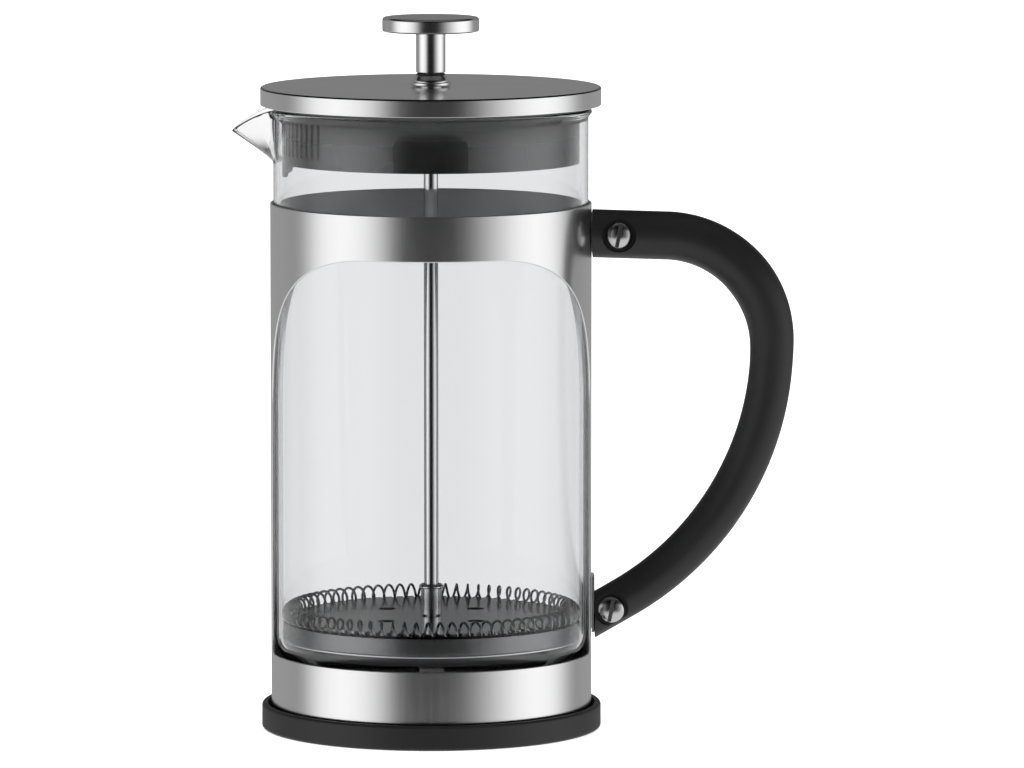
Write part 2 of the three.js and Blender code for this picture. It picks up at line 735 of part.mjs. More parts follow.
function linerSolid() {
  const seatOuter = linerOuter - SEAT_INSET;
  const ring = solid(turnedRing([
    [stemHole, linerTop],
    [linerOuter, linerTop],
    [linerOuter, coverBottom],
    [seatOuter, coverBottom],
    [seatOuter, seat],
    [skirtOuter, seat],
    [skirtOuter, tabBottom],
    [skirtInner, tabBottom],
    [skirtInner, ceiling],
    [stemHole, ceiling],
  ], RING_FACETS));
  const slotMiddle = skirtBottom + SLOT_MARGIN + SLOT_HEIGHT / 2;
  const slots = Array.from({ length: SLOT_COUNT }, (_, k) => {
    const angle = Math.PI + (k - (SLOT_COUNT - 1) / 2) * SLOT_PITCH / skirtOuter;
    return solid(
      new THREE.BoxGeometry(3 * SKIRT_WALL, SLOT_WIDTH, SLOT_HEIGHT)
        .translate(skirtOuter - SKIRT_WALL / 2, 0, slotMiddle)
        .rotateZ(angle),
    );
  });
  const pourGap = solid(
    new THREE.BoxGeometry(coverOuter - SEAT_OVER_SPOUT, 2 * seatOuter, 2 * SEAT_REVEAL)
      .translate(-(coverOuter + SEAT_OVER_SPOUT) / 2, 0, coverBottom - SEAT_REVEAL),
  );
  return cut(ring, tabTool(), pourGap, ...slots);
}

function bushSolid() {
  const sweep = spread(0, Math.PI / 2, 3).map((turn) => [
    FERRULE_FLARE - (FERRULE_FLARE - FERRULE_RADIUS) * Math.sin(turn),
    ferruleBottom + FERRULE_FOOT + FERRULE_SWEEP * (1 - Math.cos(turn)),
  ]);
  return solid(turnedRing([
    [rodHole, stemBottom],
    [STEM_RADIUS, stemBottom],
    [STEM_RADIUS, ferruleBottom],
    [FERRULE_FLARE, ferruleBottom],
    ...sweep,
    [FERRULE_RADIUS, ferruleTop],
    [rodHole, ferruleTop],
  ], BUSH_FACETS));
}

function bushNutSolid() {
  const hexagon = new THREE.CylinderGeometry(BUSH_NUT_RADIUS, BUSH_NUT_RADIUS, BUSH_NUT_HEIGHT, 6);
  const bore = new THREE.CylinderGeometry(stemHole, stemHole, 2 * BUSH_NUT_HEIGHT, SMALL_FACETS);
  return cut(solid(hexagon.rotateX(Math.PI / 2)), solid(bore.rotateX(Math.PI / 2)));
}

// ---------------------------------------------------------------- plunger

function knobSolid() {
  const boreTop = ROD_IN_KNOB + GAP;
  return solid(turnedSolid([
    [0, boreTop],
    [rodHole, boreTop],
    [rodHole, 0],
    [NECK_RADIUS, 0],
    [NECK_RADIUS, NECK_LENGTH, KNOB_ROUND / 2],
    [KNOB_RADIUS, NECK_LENGTH, KNOB_ROUND / 2],
    [KNOB_RADIUS, NECK_LENGTH + KNOB_THICKNESS, KNOB_ROUND],
    [0, NECK_LENGTH + KNOB_THICKNESS],
  ], KNOB_FACETS));
}

function rodSolid() {
  const length = rodTop - rodBottom;
  const rod = new THREE.CylinderGeometry(ROD_RADIUS, ROD_RADIUS, length, SMALL_FACETS);
  return solid(rod.rotateX(Math.PI / 2).translate(0, 0, length / 2));
}

function hubSolid() {
  const shoulder = HUB_HEIGHT - HUB_COLLAR_HEIGHT;
  return solid(turnedRing([
    [rodHole, 0],
    [HUB_RADIUS, 0],
    [HUB_RADIUS, shoulder],
    [HUB_COLLAR_RADIUS, shoulder],
    [HUB_COLLAR_RADIUS, HUB_HEIGHT - HUB_COLLAR_HEIGHT / 2],
    [HUB_RADIUS, HUB_HEIGHT],
    [rodHole, HUB_HEIGHT],
  ], SMALL_FACETS));
}

// A flat plate cut from sheet, underside at height zero, from an outline and holes of points.
function platePressing(outline, holes, sheet) {
  const shape = new THREE.Shape(outline);
  shape.holes = holes.map((points) => new THREE.Path(points));
  return solid(new THREE.ExtrudeGeometry(shape, { depth: sheet, bevelEnabled: false }));
}

// Points along an arc, both ends included.
function arc(x, y, radius, from, to, steps) {
  return spread(from, to, steps).map(
    (angle) => new THREE.Vector2(x + radius * Math.cos(angle), y + radius * Math.sin(angle)),
  );
}

function circle(x, y, radius, facets) {
  return arc(x, y, radius, 0, 2 * Math.PI, facets).slice(1);
}

// The plate whose notched edge carries the coil: each turn passes through one notch.
function spiralPlateSolid() {
  const edge = coilCircle - PLATE_TO_COIL_CENTRE;
  const notchFloor = coilCircle - COIL_RADIUS - WIRE_RADIUS - GAP;
  const halfNotch = (WIRE_RADIUS + 1.5 * GAP) / edge;
  const pitch = 2 * Math.PI / COIL_TURNS;
  const phase = notchPhase();
  const outline = [];
  for (let k = 0; k < COIL_TURNS; k++) {
    const middle = (k - phase) * pitch;
    outline.push(polar(edge, middle - halfNotch, 0));
    outline.push(polar(notchFloor, middle - halfNotch, 0));
    outline.push(polar(notchFloor, middle + halfNotch, 0));
    outline.push(polar(edge, middle + halfNotch, 0));
  }
  const holes = [circle(0, 0, rodHole, HOLE_FACETS)];
  for (let k = 0; k < PLATE_HOLES; k++) {
    const at = polar(PLATE_HOLE_CIRCLE, (k + 0.5) * 2 * Math.PI / PLATE_HOLES, 0);
    holes.push(circle(at.x, at.y, PLATE_HOLE_RADIUS, HOLE_FACETS));
  }
  return platePressing(outline, holes, PLATE_SHEET);
}

// Share of a turn at which the wire comes down through the plate.
function notchPhase() {
  return 0.5 + Math.asin(COIL_ABOVE_PLATE / COIL_RADIUS) / (2 * Math.PI);
}

// A spring bent into a ring: the wire winds round a circle and closes on itself.
function coilSolid() {
  const count = COIL_TURNS * COIL_STEPS;
  const sections = Array.from({ length: count }, (_, k) => {
    const i = k + 0.5;
    const around = i / count * 2 * Math.PI;
    const turn = -i / COIL_STEPS * 2 * Math.PI;
    const out = polar(1, around, 0);
    const sideways = polar(1, around + Math.PI / 2, 0);
    const away = out.clone().multiplyScalar(Math.cos(turn)).setZ(Math.sin(turn));
    const centre = polar(coilCircle, around, coilLevel).addScaledVector(away, COIL_RADIUS);
    return Array.from({ length: WIRE_SIDES }, (_, side) => {
      const angle = side * 2 * Math.PI / WIRE_SIDES;
      return centre.clone()
        .addScaledVector(away, WIRE_RADIUS * Math.cos(angle))
        .addScaledVector(sideways, WIRE_RADIUS * Math.sin(angle));
    });
  });
  return solid(loft(sections, true));
}

function meshSolid() {
  const hemTop = meshTop + HEM_ABOVE_MESH;
  return solid(turnedRing([
    [BOSS_RADIUS + GAP, meshBottom],
    [hemInner, meshBottom],
    [hemInner, hemTop - HEM_HEIGHT],
    [hemOuter, hemTop - HEM_HEIGHT],
    [hemOuter, hemTop],
    [hemInner, hemTop],
    [hemInner, meshTop],
    [BOSS_RADIUS + GAP, meshTop],
  ], RING_FACETS));
}

// The bottom plate: a rim and four arms round a tapped boss.
function crossPlateSolid() {
  const rimOuter = hemInner - CROSS_TO_HEM;
  const rimInner = rimOuter - CROSS_RIM;
  const armAt = (radius) => Math.asin(CROSS_ARM / 2 / radius);
  const windows = Array.from({ length: 4 }, (_, k) => {
    const from = k * Math.PI / 2;
    const to = from + Math.PI / 2;
    return [
      ...arc(0, 0, rimInner, from + armAt(rimInner), to - armAt(rimInner), RING_FACETS / 6),
      ...arc(0, 0, CROSS_CENTRE, to - armAt(CROSS_CENTRE), from + armAt(CROSS_CENTRE), 3),
    ];
  });
  const plate = platePressing(circle(0, 0, rimOuter, RING_FACETS), windows, CROSS_SHEET)
    .translate(0, 0, crossBottom);
  const bossHeight = bossTop - crossBottom + BOSS_BELOW;
  const bossMiddle = bossTop - bossHeight / 2;
  const boss = new THREE.CylinderGeometry(BOSS_RADIUS, BOSS_RADIUS, bossHeight, BUSH_FACETS);
  const bore = new THREE.CylinderGeometry(rodHole, rodHole, 2 * bossHeight, SMALL_FACETS);
  return cut(
    joined(plate, solid(boss.rotateX(Math.PI / 2).translate(0, 0, bossMiddle))),
    solid(bore.rotateX(Math.PI / 2).translate(0, 0, bossMiddle)),
  );
}

// ---------------------------------------------------------------- assembly

const brushedSteel = new THREE.MeshStandardMaterial({ color: 0xb8b9bb, roughness: 0.3, metalness: 1 });
const polishedSteel = new THREE.MeshStandardMaterial({ color: 0xd4d5d7, roughness: 0.12, metalness: 1 });
const blackPlastic = new THREE.MeshStandardMaterial({ color: 0x1b1b1c, roughness: 0.5, metalness: 0 });
const greyPlastic = new THREE.MeshStandardMaterial({ color: 0x2a2a2b, roughness: 0.35, metalness: 0 });
const clearGlass = new THREE.MeshStandardMaterial({
  color: 0xf2f5f5,
  roughness: 0.02,
  metalness: 0,
  transparent: true,
  opacity: 0.25,
});

function piece(name, manifold, material, z = 0) {
  const mesh = new THREE.Mesh(geometryOf(manifold), material);
  mesh.name = name;
  mesh.position.z = z;
  return mesh;
}

// A screw, head towards -Y, or its nut, head towards +Y, at one end of the handle.
function fastener(name, manifold, side, x, z) {
  const mesh = piece(name, manifold, brushedSteel, z);
  mesh.position.x = x;
  mesh.position.y = side * (RECESS_FLOOR + GAP);
  mesh.rotation.set(-side * Math.PI / 2, 0, 0);
  mesh.rotateZ(-radians(DRIVER_TURN));
  return mesh;
}

const carrier = new THREE.Group();
carrier.add(
  piece("base", baseSolid(), blackPlastic),
  piece("steel_frame", frameSolid(), brushedSteel),
  piece(
    "upper_bracket",
    bracketSolid(upperScrewZ, UPPER_PLATE_HEIGHT, upperScrewX, upperScrewZ),
    brushedSteel,
  ),
  piece(
    "lower_bracket",
    bracketSolid(lowerScrewZ + LOWER_PLATE_RISE, LOWER_PLATE_HEIGHT, lowerScrewX, lowerScrewZ),
    brushedSteel,
  ),
  piece("handle", handleSolid(), blackPlastic),
  fastener("upper_screw", screwSolid(), -1, upperScrewX, upperScrewZ),
  fastener("upper_barrel_nut", barrelNutSolid(), 1, upperScrewX, upperScrewZ),
  fastener("lower_screw", screwSolid(), -1, lowerScrewX, lowerScrewZ),
  fastener("lower_barrel_nut", barrelNutSolid(), 1, lowerScrewX, lowerScrewZ),
);

const lid = new THREE.Group();
lid.add(
  piece("lid_cover", coverSolid(), brushedSteel),
  piece("lid_liner", linerSolid(), greyPlastic),
  piece("lid_bush", bushSolid(), polishedSteel),
  piece("bush_nut", bushNutSolid(), brushedSteel, bushNutBottom + BUSH_NUT_HEIGHT / 2),
);

const plunger = new THREE.Group();
plunger.add(
  piece("knob", knobSolid(), polishedSteel, knobBottom),
  piece("plunger_rod", rodSolid(), polishedSteel, rodBottom),
  piece("plunger_hub", hubSolid(), polishedSteel, hubBottom),
  piece("spiral_plate", spiralPlateSolid(), polishedSteel, plateBottom),
  piece("coil_spring", coilSolid(), polishedSteel),
  piece("mesh_filter", meshSolid(), brushedSteel),
  piece("cross_plate", crossPlateSolid(), brushedSteel),
);

const frenchPress = new THREE.Group();
frenchPress.add(carrier, piece("glass_beaker", beakerSolid(), clearGlass), lid, plunger);

export default frenchPress;
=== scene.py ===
import math

import bmesh
import bpy
from mathutils import Matrix, Vector


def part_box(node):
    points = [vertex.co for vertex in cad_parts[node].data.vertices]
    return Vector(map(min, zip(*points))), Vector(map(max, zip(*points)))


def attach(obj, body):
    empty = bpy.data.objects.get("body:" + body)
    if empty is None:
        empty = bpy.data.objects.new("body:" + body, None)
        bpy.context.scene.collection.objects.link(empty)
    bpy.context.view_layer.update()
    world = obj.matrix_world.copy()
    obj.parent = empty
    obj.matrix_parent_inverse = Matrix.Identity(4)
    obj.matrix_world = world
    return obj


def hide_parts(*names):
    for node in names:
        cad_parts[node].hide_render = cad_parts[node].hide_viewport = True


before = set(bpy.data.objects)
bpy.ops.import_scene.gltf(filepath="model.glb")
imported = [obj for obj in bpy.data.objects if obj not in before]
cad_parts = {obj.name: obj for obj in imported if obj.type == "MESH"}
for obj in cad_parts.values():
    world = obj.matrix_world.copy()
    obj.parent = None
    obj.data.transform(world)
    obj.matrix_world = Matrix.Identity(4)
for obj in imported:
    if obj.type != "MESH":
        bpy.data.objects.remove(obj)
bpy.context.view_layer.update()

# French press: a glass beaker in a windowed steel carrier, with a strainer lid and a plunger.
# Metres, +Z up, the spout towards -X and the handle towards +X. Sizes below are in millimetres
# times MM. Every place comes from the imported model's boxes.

MM = 0.001


def low(node):
    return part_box(node)[0]


def high(node):
    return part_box(node)[1]


def middle(node):
    return (low(node) + high(node)) / 2


def levels(node):
    return low(node).z, high(node).z


# -------- sizes read from the frame

FRAME_OUTER = high("steel_frame").y
FRAME_BOTTOM = low("steel_frame").z
FRAME_TOP = high("steel_frame").z
BASE_OUTER = high("base").x
PLATEAU_TOP = high("base").z
RIM_FLARE = 1.1 * MM
GLASS_OUTER = high("glass_beaker").x - RIM_FLARE
GLASS_BOTTOM = low("glass_beaker").z
GLASS_TOP = high("glass_beaker").z
SPOUT_REACH = -low("glass_beaker").x - GLASS_OUTER
COVER_OUTER = high("lid_cover").x
COVER_BOTTOM = low("lid_cover").z
COVER_TOP = high("lid_cover").z
LINER_OUTER = high("lid_liner").x
LINER_TOP = high("lid_liner").z
TAB_BOTTOM = low("lid_liner").z
ROD_RADIUS = high("plunger_rod").x

# -------- sizes of the parts

GAP = 0.3 * MM  # clearance between pieces that fit together
BITE = 1 * MM  # how far a tool reaches past a face

BASE_HEIGHT = 7.7 * MM
BASE_WALL = 1.9 * MM
BASE_SHELL = 2.5 * MM  # the plateau's wall and the floor
BASE_FLOOR = 4.2 * MM  # its top, around the plateau
BASE_FOOT = 6 * MM  # width of the ring it stands on
PLATEAU_RADIUS = 40 * MM
RIB_WALL = 1.6 * MM
BOSS_RADIUS = 7 * MM

FRAME_SHEET = 0.7 * MM
FRAME_CORNER = 3.7 * MM
FLANGE_INNER = 41.5 * MM
WINDOW_SILL = FRAME_BOTTOM + 19.35 * MM
WINDOW_HEAD = FRAME_TOP - 14 * MM
POST_WIDTH = 14 * MM  # between the windows
ARCH_RADIUS = 50 * MM
SILL_RADIUS = 4 * MM

HANDLE_RADIUS = 7.5 * MM
HANDLE_TAPERS = ((0.8 * MM, 0.28, 0.46), (0.3 * MM, 0.6, 1))  # depth, from, to
ARM_LEVEL = FRAME_TOP - 9.6 * MM
ARM_DROP = 0.8 * MM
ARM_ROOT = FRAME_OUTER - 3 * MM
BEND_RADIUS = 33.7 * MM
BOW_RADIUS = 91.9 * MM
BOW_TURN = math.radians(60)
BEND_X = FRAME_OUTER + 22.25 * MM
BEND_Z = ARM_LEVEL - ARM_DROP - BEND_RADIUS
BOW_X = BEND_X + BEND_RADIUS - BOW_RADIUS
BRACKET_SHEET = 0.7 * MM
BRACKET_WIDTH = 10 * MM
TONGUE_SHEET = 1.5 * MM
TONGUE_HEIGHT = 7 * MM
TONGUE_REACH = 4 * MM  # past the screw's axis
POCKET_HALF = TONGUE_SHEET / 2 + GAP
SADDLE = FRAME_OUTER + GAP  # where the handle and the brackets meet the sleeve
TAIL_START = SADDLE + BRACKET_SHEET + 0.05 * MM

RECESS_RADIUS = 5.3 * MM
RECESS_FLOOR = 4.3 * MM
HEAD_SEAT = RECESS_FLOOR + GAP
HEAD_RADIUS = 4.1 * MM
HEAD_HEIGHT = 2.4 * MM
HEAD_CROWN = 1.7 * MM
DRIVER_WIDTH = 1.2 * MM
DRIVER_DEPTH = 1 * MM
DRIVER_TURN = math.radians(-11)
SHANK_RADIUS = 1.7 * MM
SHANK_LENGTH = 8.2 * MM
SCREW_HOLE = SHANK_RADIUS + GAP
SLEEVE_RADIUS = 2.8 * MM

GLASS_WALL = 1.8 * MM
GLASS_FLOOR = 2.2 * MM
GLASS_CORNER = 12 * MM
GLASS_INNER = GLASS_OUTER - GLASS_WALL
SPOUT_HALF_WIDTH = 11 * MM
SPOUT_DEPTH = 17 * MM
SPOUT_DIP = 6.5 * MM  # how far the rim drops towards the keel
SPOUT_DIP_POWER = 1.6
SPOUT_CURL = 0.12
KEEL_SOFTNESS = 0.12
ROOT_FADE = 0.3
RIM_FLARE_DEPTH = 1.5 * MM

COVER_SHEET = 0.8 * MM
STEM_HOLE = 4.2 * MM
SEAT = GLASS_TOP + GAP
SEAT_STEP = 1.25 * MM
SKIRT_OUTER = GLASS_INNER - 1 * MM
SKIRT_INNER = SKIRT_OUTER - 1.2 * MM
SKIRT_BOTTOM = SEAT - 16.9 * MM
CEILING = LINER_TOP - 2.1 * MM
TAB_CORNER = 9.9 * MM / SKIRT_OUTER  # angles from the spout
TAB_END = TAB_CORNER + 11.8 * MM / SKIRT_OUTER
SLOT_COUNT = 26
SLOT_PITCH = 2.73 * MM / SKIRT_OUTER
SLOT_WIDTH = 1.2 * MM
SLOT_BOTTOM = SKIRT_BOTTOM + 2.9 * MM
SLOT_TOP = SKIRT_BOTTOM + 14.5 * MM
POUR_CUT = 47.6 * MM  # the seat ends here on the spout's side

ROD_HOLE = ROD_RADIUS + GAP
STEM_RADIUS = 3.9 * MM
COLLAR_NECK = 4.35 * MM
COLLAR_RING = 0.5 * MM
COLLAR_BEAD = 1.25 * MM
COLLAR_CURVE = 1.6
KNOB_THICKNESS = 4.45 * MM
KNOB_NECK = 4.6 * MM
KNOB_BORE = 9.7 * MM

COIL_TURNS = 76
WIRE_RADIUS = 0.42 * MM
COIL_RADIUS = 2.3 * MM  # of the winding
COIL_ABOVE_PLATE = 1.7 * MM
COIL_LEVEL = middle("spiral_plate").z + COIL_ABOVE_PLATE
COIL_CIRCLE = GLASS_INNER - 0.4 * MM - WIRE_RADIUS - COIL_RADIUS
PLATE_EDGE = COIL_CIRCLE - 0.4 * MM
PLATE_HOLE_RADIUS = 2.75 * MM
PLATE_HOLE_CIRCLE = 19.6 * MM
HUB_RADIUS = 3.25 * MM
HUB_COLLAR = 1.3 * MM
MESH_HOLE = 4.5 * MM
MESH_SHEET = 0.5 * MM
MESH_DROP = 0.6 * MM  # below the boss of the cross plate
HEM_WALL = 0.5 * MM
HEM_DROP = 3.6 * MM  # below the solid's hem
HEM_ROLL = 0.85 * MM
HEM_ROLL_REACH = 0.15 * MM  # past the hem's outside
CROSS_SHEET = 1 * MM
CROSS_BOSS = 4.2 * MM
CROSS_BOSS_DROP = 1.5 * MM
CROSS_RIM = 4 * MM
CROSS_CENTRE = 9 * MM
CROSS_ARM = 8 * MM


# -------- making meshes

def polar(radius, angle, z):
    return Vector((radius * math.cos(angle), radius * math.sin(angle), z))


def spread(start, end, steps):
    return [start + (end - start) * k / steps for k in range(steps + 1)]


def smoothstep(value, start, end):
    t = min(max((value - start) / (end - start), 0), 1)
    return t * t * (3 - 2 * t)


def loft(sections, looped=False, capped=False):
    """Vertices and faces of a skin over equal closed sections."""
    sides = len(sections[0])
    rows = len(sections) if looped else len(sections) - 1
    faces = []
    for i in range(rows):
        here, following = i * sides, (i + 1) % len(sections) * sides
        for k in range(sides):
            after = (k + 1) % sides
            faces.append((here + k, here + after, following + after, following + k))
    if capped:
        last = (len(sections) - 1) * sides
        faces.append(tuple(range(sides))[::-1])
        faces.append(tuple(last + k for k in range(sides)))
    return [p for section in sections for p in section], faces


def rounded(corners, steps=5):
    """A profile in the (radius, height) plane; a corner's third number is its fillet."""
    points = []
    for i, corner in enumerate(corners):
        at = Vector(corner[:2])
        fillet = corner[2] if len(corner) > 2 else 0
        if not fillet:
            points.append(at)
            continue
        back = (Vector(corners[i - 1][:2]) - at).normalized()
        on = (Vector(corners[(i + 1) % len(corners)][:2]) - at).normalized()
        half = math.acos(back.dot(on)) / 2
        centre = at + (back + on).normalized() * fillet / math.sin(half)
        spoke = at + back * fillet / math.tan(half) - centre
        sweep = (2 * half - math.pi) * math.copysign(1, back.x * on.y - back.y * on.x)
        for t in spread(0, sweep, steps):
            points.append(centre + Matrix.Rotation(t, 2) @ spoke)
    return points


def spun(profiles, ring):
    """Vertices and faces of a skin over equal profiles that stand around the axis."""
    sides = len(profiles[0])
    faces = []
    for i in range(len(profiles)):
        here, following = i * sides, (i + 1) % len(profiles) * sides
        for k in range(sides if ring else sides - 1):
            after = (k + 1) % sides
            faces.append((here + k, following + k, following + after, here + after))
    return [p for profile in profiles for p in profile], faces


def turned(corners, facets=160, ring=True, steps=5):
    """A solid turned about +Z, either a ring or closed on the axis at both ends."""
    profile = rounded(corners, steps)
    angles = spread(0, 2 * math.pi, facets)[:-1]
    return spun([[polar(p.x, angle, p.y) for p in profile] for angle in angles], ring)


def upright(angle, inner, outer, lowest, highest):
    """A rectangle that stands in the radial plane at an angle."""
    corners = ((inner, lowest), (outer, lowest), (outer, highest), (inner, highest))
    return [polar(radius, angle, z) for radius, z in corners]


def cleaned(mesh):
    """Welds doubles, drops faces without area and turns all faces outwards."""
    work = bmesh.new()
    work.from_mesh(mesh)
    bmesh.ops.remove_doubles(work, verts=work.verts, dist=1e-6)
    bmesh.ops.dissolve_degenerate(work, edges=work.edges, dist=1e-7)
    bmesh.ops.recalc_face_normals(work, faces=work.faces)
    work.to_mesh(mesh)
    work.free()


def linked(name, data):
    """A new object in the scene."""
    made = bpy.data.objects.new(name, data)
    bpy.context.scene.collection.objects.link(made)
    return made


def raw_object(name, shape, clean=True):
    mesh = bpy.data.meshes.new(name)
    mesh.from_pydata(shape[0], [], shape[1])
    if clean:
        cleaned(mesh)
    return linked(name, mesh)


def apply_modifiers(made):
    graph = bpy.context.evaluated_depsgraph_get()
    mesh = bpy.data.meshes.new_from_object(made.evaluated_get(graph))
    made.modifiers.clear()
    old, made.data = made.data, mesh
    bpy.data.meshes.remove(old)


def carve(made, *tools, operation="DIFFERENCE"):
    """Cuts the tools out of a piece, or joins them to it."""
    for shape in tools:
        tool = raw_object("tool", shape)
        modifier = made.modifiers.new("carve", "BOOLEAN")
        modifier.operation = operation
        modifier.solver = "EXACT"
        modifier.object = tool
        apply_modifiers(made)
        bpy.data.objects.remove(tool)
    cleaned(made.data)


def bevelled(made, width, segments=2, angle=40):
    """Bevels the edges that are sharper than an angle."""
    modifier = made.modifiers.new("edges", "BEVEL")
    modifier.width = width
    modifier.segments = segments
    modifier.limit_method = "ANGLE"
    modifier.angle_limit = math.radians(angle)
    apply_modifiers(made)


def finished(made, material, body, nodes=(), sharp=35):
    """A piece's shading, finish and body, and the nodes that it stands for."""
    made.data.shade_smooth()
    made.data.set_sharp_from_angle(angle=math.radians(sharp))
    weighted = made.modifiers.new("normals", "WEIGHTED_NORMAL")
    weighted.keep_sharp = True
    made.data.materials.clear()
    made.data.materials.append(material)
    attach(made, body)
    if nodes:
        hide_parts(*nodes)


def box_shape(lowest, highest):
    corners = [
        Vector((x, y, z))
        for x in (lowest[0], highest[0])
        for y in (lowest[1], highest[1])
        for z in (lowest[2], highest[2])
    ]
    faces = [(0, 1, 3, 2), (4, 6, 7, 5), (0, 4, 5, 1), (2, 3, 7, 6), (0, 2, 6, 4), (1, 5, 7, 3)]
    return corners, faces


def bar_shape(radius, start, end, facets=64):
    """A round bar between two points."""
    along = (end - start).normalized()
    across = along.orthogonal().normalized()
    other = along.cross(across)
    sections = [
        [
            at + across * radius * math.cos(t) + other * radius * math.sin(t)
            for t in spread(0, 2 * math.pi, facets)[:-1]
        ]
        for at in (start, end)
    ]
    return loft(sections, capped=True)


# -------- materials

class Nodes:
    """A node tree with short ways to add to it. A value is a number, a colour or a socket."""

    def __init__(self, tree):
        self.tree = tree

    def node(self, kind):
        return self.tree.nodes.new("ShaderNode" + kind)

    def plug(self, value, socket):
        if isinstance(value, bpy.types.NodeSocket):
            self.tree.links.new(value, socket)
        else:
            socket.default_value = (*value, 1) if isinstance(value, tuple) else value

    def math(self, operation, *values):
        made = self.node("Math")
        made.operation = operation
        for value, socket in zip(values, made.inputs):
            self.plug(value, socket)
        return made.outputs[0]

    def mapped(self, value, start, end, low_level=0, high_level=1, kind="LINEAR"):
        """A value between start and end, brought to the range between the two levels."""
        made = self.node("MapRange")
        made.interpolation_type = kind
        names = ("Value", "From Min", "From Max", "To Min", "To Max")
        for name, number in zip(names, (value, start, end, low_level, high_level)):
            self.plug(number, made.inputs[name])
        return made.outputs[0]

    def step(self, value, start, end, level=1):
        """A soft step from 0 up to a level. It falls where end lies below start."""
        return self.mapped(value, start, end, 0, level, "SMOOTHSTEP")

    def mixed(self, factor, first, second):
        """A colour between two colours."""
        made = self.node("Mix")
        made.data_type = "RGBA"
        for name, value in (("Factor", factor), ("A", first), ("B", second)):
            self.plug(value, made.inputs[name])
        return made.outputs["Result"]

    def between(self, factor, first, second):
        """A number between two numbers."""
        made = self.node("Mix")
        for value, at in ((factor, 0), (first, 2), (second, 3)):
            self.plug(value, made.inputs[at])
        return made.outputs[0]

    def split(self, place):
        made = self.node("SeparateXYZ")
        self.plug(place, made.inputs[0])
        return made.outputs

    def camera_rays(self):
        """The light path, and 1 for what the camera sees only through glass."""
        path = self.node("LightPath").outputs
        bounced = self.math("ADD", path["Diffuse Depth"], path["Glossy Depth"])
        direct = self.math("LESS_THAN", bounced, 0.5)
        return path, self.math("MULTIPLY", path["Is Transmission Ray"], direct)


class Finish(Nodes):
    """A material, its principled shader and the patterns that it is made of."""

    def __init__(self, name):
        self.material = bpy.data.materials.new(name)
        self.material.use_nodes = True
        super().__init__(self.material.node_tree)
        self.shader = self.tree.nodes["Principled BSDF"]

    def set(self, name, value):
        self.plug(value, self.shader.inputs[name])

    def place(self):
        """The piece's own coordinates, in metres."""
        return self.node("TexCoord").outputs["Object"]

    def xyz(self):
        return self.split(self.place())

    def joined(self, *values):
        made = self.node("CombineXYZ")
        for value, socket in zip(values, made.inputs):
            self.plug(value, socket)
        return made.outputs[0]

    def axis_distance(self):
        """How far a point is from the axis."""
        x, y, _ = self.xyz()
        squares = [self.math("MULTIPLY", socket, socket) for socket in (x, y)]
        return self.math("SQRT", self.math("ADD", *squares))

    def round_place(self, stretch):
        """Coordinates that run along turning marks: angle times stretch, radius, height."""
        x, y, z = self.xyz()
        angle = self.math("MULTIPLY", self.math("ARCTAN2", y, x), stretch)
        return self.joined(angle, self.axis_distance(), z)

    def upright_place(self, stretch):
        """Coordinates for streaks that run upwards: only the height is times stretch."""
        x, y, z = self.xyz()
        return self.joined(x, y, self.math("MULTIPLY", z, stretch))

    def noise(self, place, scale, detail=2.0, roughness=0.5):
        """Noise with a scale in cells per metre."""
        made = self.node("TexNoise")
        names = ("Vector", "Scale", "Detail", "Roughness")
        for name, value in zip(names, (place, scale, detail, roughness)):
            self.plug(value, made.inputs[name])
        return made.outputs["Fac"]

    def ranged(self, noise, smallest, largest):
        """Noise, which hardly leaves 0.3 to 0.7, spread over a range."""
        return self.mapped(noise, 0.3, 0.7, smallest, largest)

    def bump(self, height, strength, distance):
        made = self.node("Bump")
        for name, value in (("Strength", strength), ("Distance", distance), ("Height", height)):
            self.plug(value, made.inputs[name])
        self.set("Normal", made.outputs[0])

    def layered(self, factor, first, second):
        """One shader, or another where the factor is 1."""
        made = self.node("MixShader")
        for value, socket in zip((factor, first.outputs[0], second.outputs[0]), made.inputs):
            self.plug(value, socket)
        return made


def grey(level, blue=0.0):
    return (level, level, level + blue)


MATT_INSIDE = 0.25
# Painted shade: a dark line along the fold of the lid's rim, with its width, depth and tone.
SHADE_LINE_WIDTH = 0.6 * MM
SHADE_LINE_DEPTH = 0.45 * MM
PAINTED_SHADE_LINE_TONE = grey(0.012)
BLACK_TONES = (grey(0.0085, 0.0003), grey(0.0105, 0.0003))
BLACK_GRAIN = 0.35 * MM
DULL_INSIDE = 0.1
PLASTIC_IOR = 1.46
GLASS_IOR = 1.46
GLASS_SHEEN = 0.45
GLASS_TONE = (0.891, 0.895, 0.904)
SPOUT_TONE = grey(0.99)
# Painted shade on the glass: one dark tone for its outside and spout seen edge on, and for its rim
# under the lid.
GLASS_PAINTED_SHADE_TONE = grey(0.1)
SPOUT_START = 0.6 * MM
RIM_SHADE_DEPTH = 0.7 * MM
RIM_SHADE = 0.8
WALL_EDGE_SHADE = (0.7, 0.86, 0.4)  # from, to and up to what share
SPOUT_EDGE_SHADE = (0.35, 0.65)
WIRE_PITCH = 0.45 * MM
LINER_IOR = 2.1
SATIN_TONES = (grey(0.046, 0.0005), grey(0.052, 0.0005))
# Painted reflection: the arched panel's dark tone, for a dark reflection on the skirt.
PANEL_PAINTED_REFLECTION_TONE = grey(0.022)
PANEL_HALF_WIDTH = 11.3 * MM
PANEL_ARCH = 4 * MM
PANEL_SHOULDER = SEAT - 8.9 * MM
# Painted shade: the near-black tone of the seat under the cover's edge.
SEAT_PAINTED_SHADE_TONE = grey(0.004)


